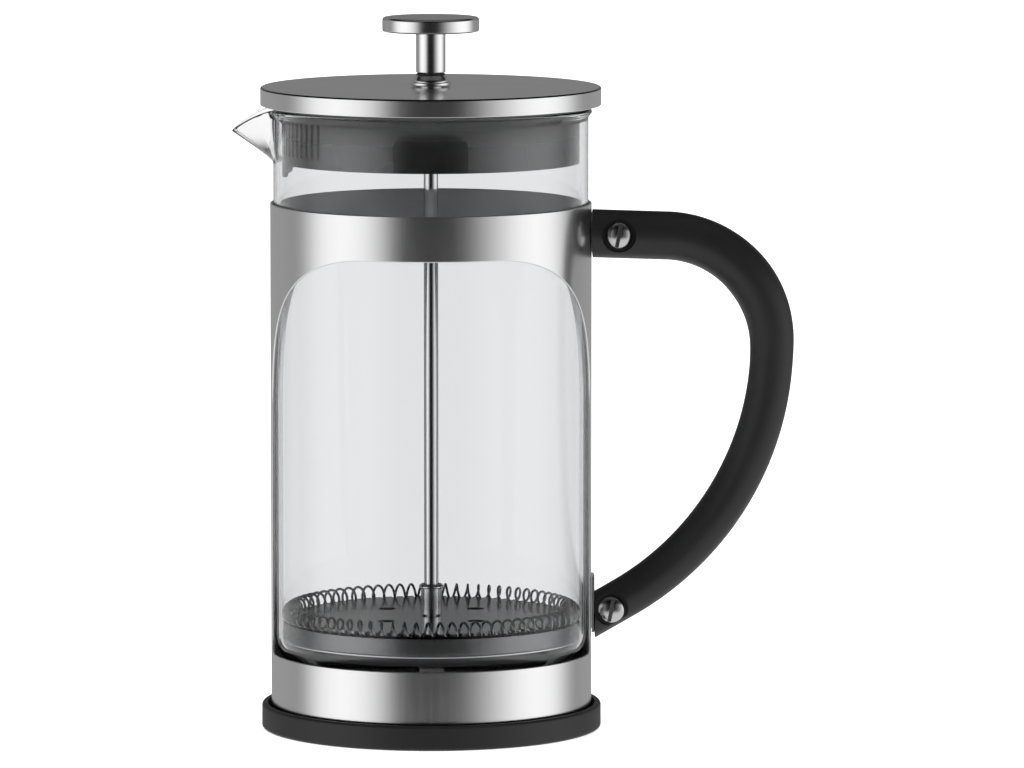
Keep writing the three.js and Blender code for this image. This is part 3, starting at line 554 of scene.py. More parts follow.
def steel(name, level, blue, rough, rough_spread, streaks, within=0, edge_tint=None, rim=0):
    """Stainless steel with fine marks and smudges.

    The marks run upwards, or round the axis where there is an edge tint, which darkens the steel
    seen edge on. It is matt inside the radius within, and a painted shade line marks the fold of a
    cover whose rim has the radius rim.
    """
    finish = Finish(name)
    marks = finish.round_place(stretch=0.002) if edge_tint else finish.upright_place(stretch=0.03)
    fine = finish.noise(marks, 1100, detail=3.0, roughness=0.6)
    smudge = finish.noise(finish.place(), 55, detail=3.0)
    light = grey(level, blue)
    dark = tuple(c * (1 - streaks) for c in light)
    tone = finish.mixed(finish.ranged(fine, 0, 1), dark, light)
    # Painted shade: a dark line is painted along the fold of the cover's rim.
    if rim:
        outside = finish.math("GREATER_THAN", finish.axis_distance(), rim - SHADE_LINE_WIDTH)
        above = finish.math("GREATER_THAN", finish.xyz()[2], COVER_TOP - SHADE_LINE_DEPTH)
        tone = finish.mixed(finish.math("MULTIPLY", outside, above), tone, PAINTED_SHADE_LINE_TONE)
    finish.set("Base Color", tone)
    roughness = finish.math(
        "ADD",
        finish.ranged(fine, rough, rough + rough_spread),
        finish.ranged(smudge, -0.012, 0.012),
    )
    if within:
        inside = finish.math("LESS_THAN", finish.axis_distance(), within)
        roughness = finish.math("MULTIPLY_ADD", inside, MATT_INSIDE, roughness)
    finish.set("Roughness", roughness)
    finish.set("Metallic", 1)
    if edge_tint:
        finish.set("Specular Tint", grey(edge_tint))
    finish.bump(fine, strength=0.015, distance=0.01 * MM)
    return finish.material


def black_plastic(name, within=0):
    """Moulded plastic with a fine spark-eroded grain, duller inside a radius."""
    finish = Finish(name)
    place = finish.place()
    fine = finish.noise(place, 1 / BLACK_GRAIN, roughness=0.6)
    broad = finish.noise(place, 45, detail=3.0)
    finish.set("Base Color", finish.mixed(finish.ranged(broad, 0, 1), *BLACK_TONES))
    roughness = finish.math(
        "ADD", finish.ranged(fine, 0.4, 0.48), finish.ranged(broad, -0.03, 0.03)
    )
    finish.set("Roughness", roughness)
    finish.set("IOR", PLASTIC_IOR)
    if within:
        inside = finish.math("LESS_THAN", finish.axis_distance(), within)
        gloss = finish.math("MULTIPLY_ADD", inside, -DULL_INSIDE, 0.5)
        finish.set("Specular IOR Level", gloss)
    finish.bump(fine, strength=0.2, distance=0.02 * MM)
    return finish.material


def clear_glass():
    """Clear glass, with painted shade along its rim and where its outside and spout are seen edge
    on.
    """
    finish = Finish("clear_glass")
    facing = finish.node("LayerWeight").outputs["Facing"]
    x, _, z = finish.xyz()
    outside = finish.math(
        "GREATER_THAN", finish.axis_distance(), (GLASS_OUTER + GLASS_INNER) / 2
    )
    spout = finish.math("LESS_THAN", x, -GLASS_OUTER - SPOUT_START)
    rim = finish.math("GREATER_THAN", z, GLASS_TOP - RIM_SHADE_DEPTH)
    # Painted shade: the outside and the spout are painted dark where seen edge on, for the dark
    # surroundings that glancing glass shows.
    edge = finish.math("MULTIPLY", outside, finish.step(facing, *WALL_EDGE_SHADE))
    spout_edge_shade = finish.math("MULTIPLY", spout, finish.step(facing, *SPOUT_EDGE_SHADE))
    edge = finish.math("MAXIMUM", edge, spout_edge_shade)
    # Painted shade: the rim is painted dark, as the shadow under the lid's edge.
    edge = finish.math("MAXIMUM", edge, finish.math("MULTIPLY", rim, RIM_SHADE))
    body = finish.mixed(spout, GLASS_TONE, SPOUT_TONE)
    finish.set("Base Color", finish.mixed(edge, body, GLASS_PAINTED_SHADE_TONE))
    finish.set("Transmission Weight", 1)
    finish.set("IOR", GLASS_IOR)
    finish.set("Specular Tint", grey(GLASS_SHEEN))
    smear = finish.noise(finish.round_place(stretch=0.02), 40)
    finish.set("Roughness", finish.ranged(smear, 0.0, 0.012))
    finish.bump(smear, strength=0.03, distance=0.1 * MM)
    return finish.material


def woven_steel():
    """Fine wire cloth: warp and weft as two crossed waves."""
    finish = Finish("steel_mesh")
    x, y, _ = finish.xyz()
    threads = []
    for across in (x, y):
        wave = finish.math("SINE", finish.math("MULTIPLY", across, 2 * math.pi / WIRE_PITCH))
        threads.append(finish.math("ABSOLUTE", wave))
    weave = finish.math("MAXIMUM", *threads)
    smudge = finish.noise(finish.place(), 120)
    finish.set("Base Color", finish.mixed(weave, grey(0.02), grey(0.3, 0.005)))
    finish.set("Roughness", finish.ranged(smudge, 0.3, 0.42))
    finish.set("Metallic", 1)
    finish.bump(weave, strength=0.6, distance=0.1 * MM)
    return finish.material


def liner_plastic():
    """Satin grey-black plastic: a polished, arched panel on the skirt's front and back with a
    painted dark reflection, and painted shade on the seat.
    """
    finish = Finish("liner_plastic")
    x, _, z = finish.xyz()
    across = finish.math("ABSOLUTE", finish.math("DIVIDE", x, PANEL_HALF_WIDTH))
    fourth = finish.math("POWER", across, 4)
    arch = finish.math("SQRT", finish.math("MAXIMUM", finish.math("SUBTRACT", 1, fourth), 0))
    arch_top = finish.math("MULTIPLY_ADD", arch, PANEL_ARCH, PANEL_SHOULDER)
    below = finish.math("GREATER_THAN", finish.math("SUBTRACT", arch_top, z), 0)
    panel_and_painted_reflection = finish.math("MULTIPLY", below, finish.math("LESS_THAN", across, 1))
    # Painted shade: the seat under the cover's edge is painted near black.
    seat = finish.math("GREATER_THAN", z, SEAT - 0.2 * MM)
    fine = finish.noise(finish.place(), 2500, roughness=0.6)
    broad = finish.noise(finish.place(), 40, detail=3.0)
    tone = finish.mixed(finish.ranged(broad, 0, 1), *SATIN_TONES)
    # Painted reflection: the arched panel is painted dark, and it is also less rough.
    tone = finish.mixed(panel_and_painted_reflection, tone, PANEL_PAINTED_REFLECTION_TONE)
    finish.set("Base Color", finish.mixed(seat, tone, SEAT_PAINTED_SHADE_TONE))
    dull = finish.step(z, SEAT - 11 * MM, SEAT - 3 * MM, 0.3)
    roughness = finish.math("MULTIPLY_ADD", panel_and_painted_reflection, -0.1, finish.ranged(fine, 0.2, 0.23))
    finish.set("Roughness", finish.math("ADD", roughness, dull))
    finish.set("IOR", LINER_IOR)
    finish.bump(fine, strength=0.02, distance=0.01 * MM)
    return finish.material


SHEET_LOOK = (0.86, 0.003, 0.2, 0.015, 0.02)  # level, blue, rough, rough_spread, streaks
BRUSHED = steel("brushed_steel", *SHEET_LOOK)
SLEEVE = steel("sleeve_steel", *SHEET_LOOK, within=FRAME_OUTER - FRAME_SHEET / 2)
# The lid's steel carries the painted shade line along its rim.
LID = steel("lid_steel", *SHEET_LOOK, rim=COVER_OUTER)
ROD = steel("rod_steel", 0.92, 0.003, 0.06, 0.02, 0.02, edge_tint=0.15)
POLISHED = steel("polished_steel", 0.9, 0.003, 0.15, 0.02, 0.03, edge_tint=0.75)
FASTENER = steel("fastener_steel", 0.62, 0.003, 0.2, 0.03, 0.05)
# Painted shade: the spring, the plate and the hem are darker copies of the steel, as shade on the
# plunger.
SPRING_SHADED = steel("spring_steel", 0.27, 0.002, 0.12, 0.03, 0.03)
PLATE_SHADED = steel("shaded_plate_steel", 0.4, 0.002, 0.13, 0.04, 0.1)
HEM_SHADED = steel("shaded_hem_steel", 0.3, 0.002, 0.22, 0.04, 0.05)
MESH = woven_steel()
BLACK = black_plastic("black_plastic")
BASE = black_plastic("base_plastic", within=FRAME_OUTER)
LINER = liner_plastic()
GLASS = clear_glass()

# -------- carrier

def base_ring():
    """The dish under the frame: a plateau that carries the glass, over two ribs and a boss."""
    inner, foot_inner = BASE_OUTER - BASE_WALL, BASE_OUTER - BASE_FOOT
    hollow, ceiling = PLATEAU_RADIUS - BASE_SHELL, PLATEAU_TOP - BASE_SHELL
    underside = BASE_FLOOR - BASE_SHELL
    made = raw_object("base_ring", turned([
        (0, ceiling),
        (hollow, ceiling, 1 * MM),
        (hollow, underside),
        (foot_inner, underside, 0.5 * MM),
        (foot_inner, 0, 0.4 * MM),
        (BASE_OUTER, 0, 0.9 * MM),
        (BASE_OUTER, BASE_HEIGHT, 0.9 * MM),
        (inner, BASE_HEIGHT, 0.3 * MM),
        (inner, BASE_FLOOR),
        (PLATEAU_RADIUS, BASE_FLOOR),
        (PLATEAU_RADIUS, PLATEAU_TOP, 0.9 * MM),
        (0, PLATEAU_TOP),
    ], facets=192, ring=False))
    rib_span, rib_top = hollow + BITE, ceiling + BITE
    for x, y in ((rib_span, RIB_WALL / 2), (RIB_WALL / 2, rib_span)):
        carve(made, box_shape((-x, -y, underside), (x, y, rib_top)), operation="UNION")
    boss = bar_shape(BOSS_RADIUS, Vector((0, 0, 0)), Vector((0, 0, rib_top)))
    carve(made, boss, operation="UNION")
    finished(made, BASE, "carrier", ["base"])


def window_columns(centre):
    """Columns across one window: (angle, sill height, head height)."""
    half = math.pi / 2 * FRAME_OUTER - POST_WIDTH / 2
    arch_start, sill_start = half - ARCH_RADIUS, half - SILL_RADIUS

    def sines(steps):
        return [math.sin(t) for t in spread(0, math.pi / 2, steps)]

    def drop(radius, past):
        return radius - math.sqrt(max(radius ** 2 - max(past, 0) ** 2, 0))

    stations = {arch_start * k / 12 for k in range(12)}
    stations |= {arch_start + ARCH_RADIUS * s for s in sines(40)}
    stations |= {sill_start + SILL_RADIUS * s for s in sines(10)}
    right = sorted(stations)
    return [
        (
            centre + s / FRAME_OUTER,
            WINDOW_SILL + drop(SILL_RADIUS, abs(s) - sill_start),
            WINDOW_HEAD - drop(ARCH_RADIUS, abs(s) - arch_start),
        )
        for s in [-s for s in reversed(right[1:])] + right
    ]


def steel_frame():
    """The sleeve's outside as a sheet with two windows, thickened inwards."""
    lip = rounded([
        (FLANGE_INNER, FRAME_BOTTOM),
        (FRAME_OUTER, FRAME_BOTTOM, FRAME_CORNER),
        (FRAME_OUTER, WINDOW_SILL),
    ], steps=10)[:-1]
    post = POST_WIDTH / FRAME_OUTER
    columns = []
    for centre in (-math.pi / 2, math.pi / 2):
        window = window_columns(centre)
        columns += [(*column, i + 1 < len(window)) for i, column in enumerate(window)]
        edge, sill, head = window[-1]
        columns += [(edge + post * k / 8, sill, head, False) for k in range(1, 8)]
    points, faces = [], []
    rows = len(lip) + 3
    for i, (angle, sill, head, open_after) in enumerate(columns):
        points += [polar(p.x, angle, p.y) for p in lip]
        points += [polar(FRAME_OUTER, angle, z) for z in (sill, head, FRAME_TOP)]
        following = (i + 1) % len(columns)
        for k in range(rows - 1):
            if open_after and k == len(lip):
                continue
            here, there = i * rows + k, following * rows + k
            faces.append((here, there, there + 1, here + 1))
    made = raw_object("frame_sleeve", (points, faces), clean=False)
    solidify = made.modifiers.new("sheet", "SOLIDIFY")
    solidify.thickness = FRAME_SHEET
    solidify.offset = -1
    solidify.use_even_offset = True
    bevelled(made, 0.28 * MM, 3, 60)
    finished(made, SLEEVE, "carrier", ["steel_frame"])


# -------- handle

def handle_line():
    """The handle's centre line in the XZ plane, with even steps."""
    def on_arc(centre_x, radius, angle):
        return Vector((centre_x + radius * math.cos(angle), BEND_Z + radius * math.sin(angle)))

    start, bend = Vector((ARM_ROOT, ARM_LEVEL)), Vector((BEND_X, BEND_Z + BEND_RADIUS))
    points = [start.lerp(bend, t) for t in spread(0, 1, 12)]
    points += [on_arc(BEND_X, BEND_RADIUS, t) for t in spread(math.pi / 2, 0, 32)[1:]]
    points += [on_arc(BOW_X, BOW_RADIUS, t) for t in spread(0, -BOW_TURN, 52)]
    tail = points[-1]
    run = tail.x - ARM_ROOT
    end = tail - Vector((run, run / math.tan(BOW_TURN)))
    return points + [tail.lerp(end, t) for t in spread(0, 1, 12)[1:]]


def screw_place(screw):
    """Where a screw's axis crosses the handle's middle plane."""
    centre = middle(screw)
    centre.y = 0
    return centre


def handle():
    """The grip, with a saddle at the sleeve and a pocket and two recesses at each screw."""
    line = handle_line()
    length = [0.0]
    for a, b in zip(line, line[1:]):
        length.append(length[-1] + (b - a).length)
    sections = []
    for i, at in enumerate(line):
        along = (line[min(i + 1, len(line) - 1)] - line[max(i - 1, 0)]).normalized()
        share = length[i] / length[-1]
        radius = HANDLE_RADIUS
        for depth, start, end in HANDLE_TAPERS:
            radius -= depth * smoothstep(share, start, end)
        centre, across = Vector((at.x, 0, at.y)), Vector((-along.y, 0, along.x))
        sections.append([
            centre + across * radius * math.cos(t) + Vector((0, radius * math.sin(t), 0))
            for t in spread(0, 2 * math.pi, 64)[:-1]
        ])
    made = raw_object("handle_grip", loft(sections, capped=True))
    arm, span = Vector((0, 0, ARM_LEVEL)), Vector((0, 0, 4 * HANDLE_RADIUS))
    carve(made, bar_shape(SADDLE, arm - span, arm + span, 360))
    carve(made, box_shape((0, -20 * MM, 0), (TAIL_START, 20 * MM, FRAME_TOP / 2)))
    away, seat = Vector((0, 20 * MM, 0)), Vector((0, RECESS_FLOOR, 0))
    half_pocket = TONGUE_HEIGHT / 2 + GAP
    for screw in ("upper_screw", "lower_screw"):
        centre = screw_place(screw)
        carve(
            made,
            box_shape(
                (FRAME_OUTER - BITE, -POCKET_HALF, centre.z - half_pocket),
                (centre.x + TONGUE_REACH + GAP, POCKET_HALF, centre.z + half_pocket),
            ),
            bar_shape(RECESS_RADIUS, centre - away, centre - seat),
            bar_shape(RECESS_RADIUS, centre + seat, centre + away),
        )
    finished(made, BLACK, "carrier", ["handle"], sharp=30)


def bracket(name, screw, node):
    """A curved plate on the frame with a tongue that the screw holds in the handle."""
    half_angle = BRACKET_WIDTH / 2 / SADDLE
    outer = SADDLE + BRACKET_SHEET
    made = raw_object(name, loft([
        upright(angle, SADDLE, outer, *levels(node))
        for angle in spread(-half_angle, half_angle, 12)
    ], capped=True))
    centre = screw_place(screw)
    tongue = box_shape(
        (outer - BRACKET_SHEET / 2, -TONGUE_SHEET / 2, centre.z - TONGUE_HEIGHT / 2),
        (high(node).x, TONGUE_SHEET / 2, centre.z + TONGUE_HEIGHT / 2),
    )
    carve(made, tongue, operation="UNION")
    through = Vector((0, 2 * MM, 0))
    carve(made, bar_shape(SCREW_HOLE, centre - through, centre + through))
    bevelled(made, 0.12 * MM)
    finished(made, BRUSHED, "carrier", [node])


def slotted_head(name, side, node, shaft):
    """A domed screw or nut head with a straight slot, head towards side, on a shaft profile."""
    crown = [
        (HEAD_RADIUS * math.cos(t), HEAD_HEIGHT - HEAD_CROWN * (1 - math.sin(t)))
        for t in spread(0, math.pi / 2, 12)
    ]
    profile = [*shaft, (HEAD_RADIUS, 0, 0.15 * MM), *crown]
    made = raw_object(name, turned(profile, facets=72, ring=False))
    top, half_slot = Vector((0, 0, HEAD_HEIGHT)), Vector((DRIVER_WIDTH / 2, 5 * MM, DRIVER_DEPTH))
    carve(made, box_shape(top - half_slot, top + half_slot))
    bevelled(made, 0.1 * MM, 2, 50)
    turn = Matrix.Rotation(-side * math.pi / 2, 4, "X") @ Matrix.Rotation(DRIVER_TURN, 4, "Z")
    place = screw_place(node) + Vector((0, side * HEAD_SEAT, 0))
    made.data.transform(Matrix.Translation(place) @ turn)
    finished(made, FASTENER, "carrier", [node])


def fasteners():
    """The two screws, and the sleeve nuts that they close into from the far side."""
    bore_end = SHANK_LENGTH - 2 * HEAD_SEAT + GAP
    sleeve_end = POCKET_HALF - HEAD_SEAT
    for level in ("upper", "lower"):
        slotted_head(level + "_head", -1, level + "_screw", [
            (0, -SHANK_LENGTH), (SHANK_RADIUS, -SHANK_LENGTH), (SHANK_RADIUS, 0),
        ])
        slotted_head(level + "_nut", 1, level + "_barrel_nut", [
            (0, bore_end),
            (SCREW_HOLE, bore_end),
            (SCREW_HOLE, sleeve_end),
            (SLEEVE_RADIUS, sleeve_end),
            (SLEEVE_RADIUS, 0),
        ])


# -------- beaker

def spout_plan(angle):
    """How far the spout has left the round wall: 1 at the keel, 0 at the roots."""
    along = abs(angle - math.pi) * GLASS_OUTER / SPOUT_HALF_WIDTH
    if along >= 1:
        return 0
    keel = 1 + KEEL_SOFTNESS - math.hypot(along, KEEL_SOFTNESS)
    return keel * smoothstep(1 - along, 0, ROOT_FADE)


def round_foot(outer, bottom, corner):
    """The quarter circle from a floor up to a wall."""
    return [
        (outer - corner + corner * math.sin(t), bottom + corner * (1 - math.cos(t)))
        for t in spread(0, math.pi / 2, 12)
    ]


def beaker_section(angle):
    """The glass cut at an angle: up its outside, over the rim and down its inside."""
    plan = spout_plan(angle)
    flare = RIM_FLARE * (1 - plan)
    half_rim_height = (GLASS_WALL + flare) / 2 - 0.15 * MM
    start = GLASS_TOP - SPOUT_DEPTH
    end = GLASS_TOP - SPOUT_DIP * plan ** SPOUT_DIP_POWER - half_rim_height

    def wall(v, radius):
        lean = v * v / (v + SPOUT_CURL) * (1 + SPOUT_CURL)
        return radius + SPOUT_REACH * plan * lean, start + (end - start) * v

    outside = [
        (r + flare * smoothstep(z, end - RIM_FLARE_DEPTH, end), z)
        for r, z in (wall(v, GLASS_OUTER) for v in spread(0, 1, 20))
    ]
    inside = [wall(v, GLASS_INNER) for v in spread(1, 0, 20)]
    half_rim = (outside[-1][0] - inside[0][0]) / 2
    lip = outside[-1][0] - half_rim
    rim_arc = [
        (lip + half_rim * math.cos(t), end + half_rim_height * math.sin(t))
        for t in spread(0, math.pi, 10)[1:-1]
    ]
    floor_top = GLASS_BOTTOM + GLASS_FLOOR
    profile = [
        (0, GLASS_BOTTOM),
        *round_foot(GLASS_OUTER, GLASS_BOTTOM, GLASS_CORNER),
        *outside,
        *rim_arc,
        *inside,
        *reversed(round_foot(GLASS_INNER, floor_top, GLASS_CORNER - GLASS_WALL)),
        (0, floor_top),
    ]
    return [polar(r, angle, z) for r, z in profile]


def beaker():
    """The glass, with more sections in the spout than in the round wall."""
    half = SPOUT_HALF_WIDTH / GLASS_OUTER
    angles = spread(math.pi - half, math.pi + half, 48)
    angles += spread(math.pi + half, 3 * math.pi - half, 168)[1:-1]
    made = raw_object("beaker_glass", spun([beaker_section(angle) for angle in angles], False))
    finished(made, GLASS, "beaker", ["glass_beaker"], sharp=60)


# -------- lid

def lid_cover():
    """The pressed disc and its rim."""
    inner, ceiling = COVER_OUTER - COVER_SHEET, COVER_TOP - COVER_SHEET
    made = raw_object("lid_disc", turned([
        (STEM_HOLE, COVER_TOP),
        (COVER_OUTER, COVER_TOP, 0.6 * MM),
        (COVER_OUTER, COVER_BOTTOM, 0.15 * MM),
        (inner, COVER_BOTTOM, 0.15 * MM),
        (inner, ceiling),
        (STEM_HOLE, ceiling),
    ], facets=240))
    finished(made, LID, "lid", ["lid_cover"])


def lid_liner():
    """The seat and the skirt, with a tab and strainer slots on the spout's side."""
    seat_outer = LINER_OUTER - SEAT_STEP
    made = raw_object("lid_strainer", turned([
        (STEM_HOLE, LINER_TOP),
        (LINER_OUTER, LINER_TOP),
        (LINER_OUTER, COVER_BOTTOM),
        (seat_outer, COVER_BOTTOM),
        (seat_outer, SEAT, 0.15 * MM),
        (SKIRT_OUTER, SEAT),
        (SKIRT_OUTER, TAB_BOTTOM),
        (SKIRT_INNER, TAB_BOTTOM),
        (SKIRT_INNER, CEILING, 0.6 * MM),
        (STEM_HOLE, CEILING),
    ], facets=240, steps=3))
    inner, outer = SKIRT_INNER - 2 * BITE, SKIRT_OUTER + 2 * BITE
    tab_depth = SKIRT_BOTTOM - TAB_BOTTOM
    half = [
        (TAB_CORNER + (TAB_END - TAB_CORNER) * t, SKIRT_BOTTOM - tab_depth * (1 - t) ** 2)
        for t in spread(0, 1, 16)
    ]
    half += [(angle, SKIRT_BOTTOM) for angle in spread(TAB_END, math.pi, 90)[1:]]
    columns = half + [(2 * math.pi - angle, z) for angle, z in reversed(half[:-1])]
    carve(made, loft([
        upright(angle + math.pi, inner, outer, TAB_BOTTOM - tab_depth, top)
        for angle, top in columns
    ], capped=True))
    half_slot = SLOT_WIDTH / 2
    for k in range(SLOT_COUNT):
        turn = Matrix.Rotation(math.pi + (k - (SLOT_COUNT - 1) / 2) * SLOT_PITCH, 3, "Z")
        corners, faces = box_shape((inner, -half_slot, SLOT_BOTTOM), (outer, half_slot, SLOT_TOP))
        carve(made, ([turn @ p for p in corners], faces))
    spout_side = (-COVER_OUTER, -COVER_OUTER, SEAT - BITE)
    carve(made, box_shape(spout_side, (-POUR_CUT, COVER_OUTER, COVER_BOTTOM)))
    bevelled(made, 0.12 * MM, 2, 60)
    finished(made, LINER, "lid", ["lid_liner"])


def ferrule():
    """The flared collar in the lid's middle, with a black ring at its top where the rod passes:
    painted shade for the dark gap under the knob's neck.
    """
    lowest, highest = levels("lid_bush")
    flare, waist = high("lid_bush").y, high("lid_bush").y - 0.6 * MM
    seat, shoulder = COVER_TOP + GAP, highest - COLLAR_RING
    foot = seat + COLLAR_BEAD
    made = raw_object("ferrule", turned([
        (ROD_HOLE, lowest, 0.2 * MM),
        (STEM_RADIUS, lowest, 0.3 * MM),
        (STEM_RADIUS, seat),
        (flare - 0.3 * MM, seat, 0.15 * MM),
        (flare, seat + 0.25 * MM, 0.2 * MM),
        (flare, foot - 0.05 * MM, 0.35 * MM),
        *(
            (waist - (waist - COLLAR_NECK) * t ** COLLAR_CURVE, foot + (shoulder - foot) * t)
            for t in spread(0, 1, 14)
        ),
        (ROD_HOLE, shoulder),
    ], facets=96, steps=4))
    finished(made, POLISHED, "lid_ferrule", ["lid_bush"])
    # Painted shade: a black ring stands in for the dark gap under the knob's neck.
    ring_outer, ring_low = COLLAR_NECK + 0.1 * MM, shoulder + 0.02 * MM
    ring = raw_object("ferrule_shade_ring", turned([
        (ROD_HOLE, ring_low),
        (ring_outer, ring_low, 0.1 * MM),
        (ring_outer, highest, 0.15 * MM),
        (ROD_HOLE, highest, 0.15 * MM),
    ], facets=96, steps=3))
    finished(ring, BLACK, "lid_ferrule")


def bush_nut():
    """The hexagonal nut that clamps the ferrule under the liner."""
    lowest, highest = levels("bush_nut")
    made = raw_object("stem_nut", loft([
        [polar(high("bush_nut").y, (k + 0.5) * math.pi / 3, z) for k in range(6)]
        for z in (lowest, highest)
    ], capped=True))
    hole = bar_shape(STEM_HOLE, Vector((0, 0, lowest - BITE)), Vector((0, 0, highest + BITE)))
    carve(made, hole)
    bevelled(made, 0.25 * MM)
    finished(made, FASTENER, "lid", ["bush_nut"])


# -------- plunger

def knob():
    """A round cap on a short neck, bored from below for the rod."""
    lowest, highest = levels("knob")
    radius, underside = high("knob").y, highest - KNOB_THICKNESS
    made = raw_object("knob_cap", turned([
        (0, lowest + KNOB_BORE),
        (ROD_HOLE, lowest + KNOB_BORE),
        (ROD_HOLE, lowest),
        (KNOB_NECK, lowest, 0.25 * MM),
        (KNOB_NECK, underside, 0.4 * MM),
        (radius, underside, 0.5 * MM),
        (radius, highest, 0.9 * MM),
        (0, highest),
    ], facets=128, ring=False))
    finished(made, POLISHED, "plunger", ["knob"])


def rod():
    lowest, highest = levels("plunger_rod")
    made = raw_object("rod", turned([
        (0, lowest),
        (ROD_RADIUS, lowest, 0.4 * MM),
        (ROD_RADIUS, highest, 0.4 * MM),
        (0, highest),
    ], facets=64, ring=False))
    finished(made, ROD, "plunger", ["plunger_rod"])


def hub():
    """The lock nut over the filter, with a collar at its top."""
    lowest, highest = levels("plunger_hub")
    collar, shoulder = high("plunger_hub").x, highest - HUB_COLLAR
    made = raw_object("hub", turned([
        (ROD_HOLE, lowest),
        (HUB_RADIUS, lowest, 0.2 * MM),
        (HUB_RADIUS, shoulder),
        (collar, shoulder, 0.1 * MM),
        (collar, highest - HUB_COLLAR / 2, 0.1 * MM),
        (HUB_RADIUS, highest, 0.1 * MM),
        (ROD_HOLE, highest),
    ], facets=96, steps=3))
    finished(made, POLISHED, "plunger", ["plunger_hub"])


def coil():
    """One wire wound around the plate's edge until it meets itself."""
    steps, sides = 20, 8
    count = COIL_TURNS * steps
    sections = []
    for k in range(count):
        around = k / count * 2 * math.pi
        turn = -k / steps * 2 * math.pi
        out, sideways = polar(1, around, 0), polar(1, around + math.pi / 2, 0)
        away = out * math.cos(turn) + Vector((0, 0, math.sin(turn)))
        centre = polar(COIL_CIRCLE, around, COIL_LEVEL) + away * COIL_RADIUS
        sections.append([
            centre + away * WIRE_RADIUS * math.cos(t) + sideways * WIRE_RADIUS * math.sin(t)
            for t in spread(0, 2 * math.pi, sides)[:-1]
        ])
    made = raw_object("coil", loft(sections, looped=True))
    finished(made, SPRING_SHADED, "plunger", ["coil_spring"], sharp=80)


def spiral_plate():
    """The plate whose notched edge carries the coil."""
    lowest, highest = levels("spiral_plate")
    notch_floor = COIL_CIRCLE - COIL_RADIUS - WIRE_RADIUS - GAP
    half_notch = (WIRE_RADIUS + 1.5 * GAP) / PLATE_EDGE
    pitch = 2 * math.pi / COIL_TURNS
    phase = 0.5 + math.asin(COIL_ABOVE_PLATE / COIL_RADIUS) / (2 * math.pi)
    sections = []
    for k in range(COIL_TURNS):
        notch = (k - phase) * pitch
        start, end = notch - half_notch, notch + half_notch
        stations = (
            (start, PLATE_EDGE),
            (start, notch_floor),
            (end, notch_floor),
            (end, PLATE_EDGE),
            (notch + pitch / 2, PLATE_EDGE),
        )
        sections += [upright(angle, ROD_HOLE, r, lowest, highest) for angle, r in stations]
    made = raw_object("notched_plate", loft(sections, looped=True))
    up = Vector((0, 0, 2 * MM))
    for k in range(4):
        at = polar(PLATE_HOLE_CIRCLE, (k + 0.5) * math.pi / 2, lowest)
        carve(made, bar_shape(PLATE_HOLE_RADIUS, at - up, at + up, 40))
    finished(made, PLATE_SHADED, "plunger", ["spiral_plate"])


def mesh_filter():
    """The woven disc, its pressed hem and the polished roll that the hem ends in."""
    lowest, highest = levels("mesh_filter")
    outer = high("mesh_filter").x
    inner, fold = outer - HEM_WALL, lowest - HEM_DROP
    mesh_outer, mesh_top = inner - 0.05 * MM, high("cross_plate").z - MESH_DROP
    made = raw_object("mesh_disc", turned([
        (MESH_HOLE, mesh_top - MESH_SHEET),
        (mesh_outer, mesh_top - MESH_SHEET),
        (mesh_outer, mesh_top),
        (MESH_HOLE, mesh_top),
    ]))
    finished(made, MESH, "plunger", ["mesh_filter"])
    hem = raw_object("mesh_hem", turned([
        (inner, fold),
        (outer, fold),
        (outer, highest, 0.22 * MM),
        (inner, highest, 0.22 * MM),
    ], facets=200, steps=4))
    finished(hem, HEM_SHADED, "plunger")
    roll_outer, roll_low, roll_top = outer + HEM_ROLL_REACH, fold - HEM_ROLL, fold - 0.02 * MM
    roll = raw_object("mesh_hem_roll", turned([
        (inner, roll_low, 0.24 * MM),
        (roll_outer, roll_low, 0.4 * MM),
        (roll_outer, roll_top, 0.4 * MM),
        (inner, roll_top, 0.24 * MM),
    ], facets=200, steps=6))
    finished(roll, POLISHED, "plunger")


def cross_plate():
    """The tapped bottom plate: a boss, and a disc with four windows that leave a cross."""
    lowest, highest = levels("cross_plate")
    plate_low = lowest + CROSS_BOSS_DROP
    plate_high = plate_low + CROSS_SHEET
    outer = high("cross_plate").x
    made = raw_object("cross_disc", turned([
        (ROD_HOLE, lowest, 0.2 * MM),
        (CROSS_BOSS, lowest, 0.3 * MM),
        (CROSS_BOSS, plate_low),
        (outer, plate_low, 0.2 * MM),
        (outer, plate_high, 0.2 * MM),
        (CROSS_BOSS, plate_high),
        (CROSS_BOSS, highest),
        (ROD_HOLE, highest),
    ], steps=3))
    for k in range(4):
        corners = []
        for radius, order in ((outer - CROSS_RIM, 1), (CROSS_CENTRE, -1)):
            arm = math.asin(CROSS_ARM / 2 / radius)
            angles = spread(k * math.pi / 2 + arm, (k + 1) * math.pi / 2 - arm, 24)
            corners += [(radius, angle) for angle in angles[::order]]
        carve(made, loft([
            [polar(radius, angle, z) for radius, angle in corners]
            for z in (plate_low - BITE, plate_high + BITE / 2)
        ], capped=True))
    bevelled(made, 0.1 * MM, 2, 60)
    finished(made, HEM_SHADED, "plunger", ["cross_plate"])


# -------- the set

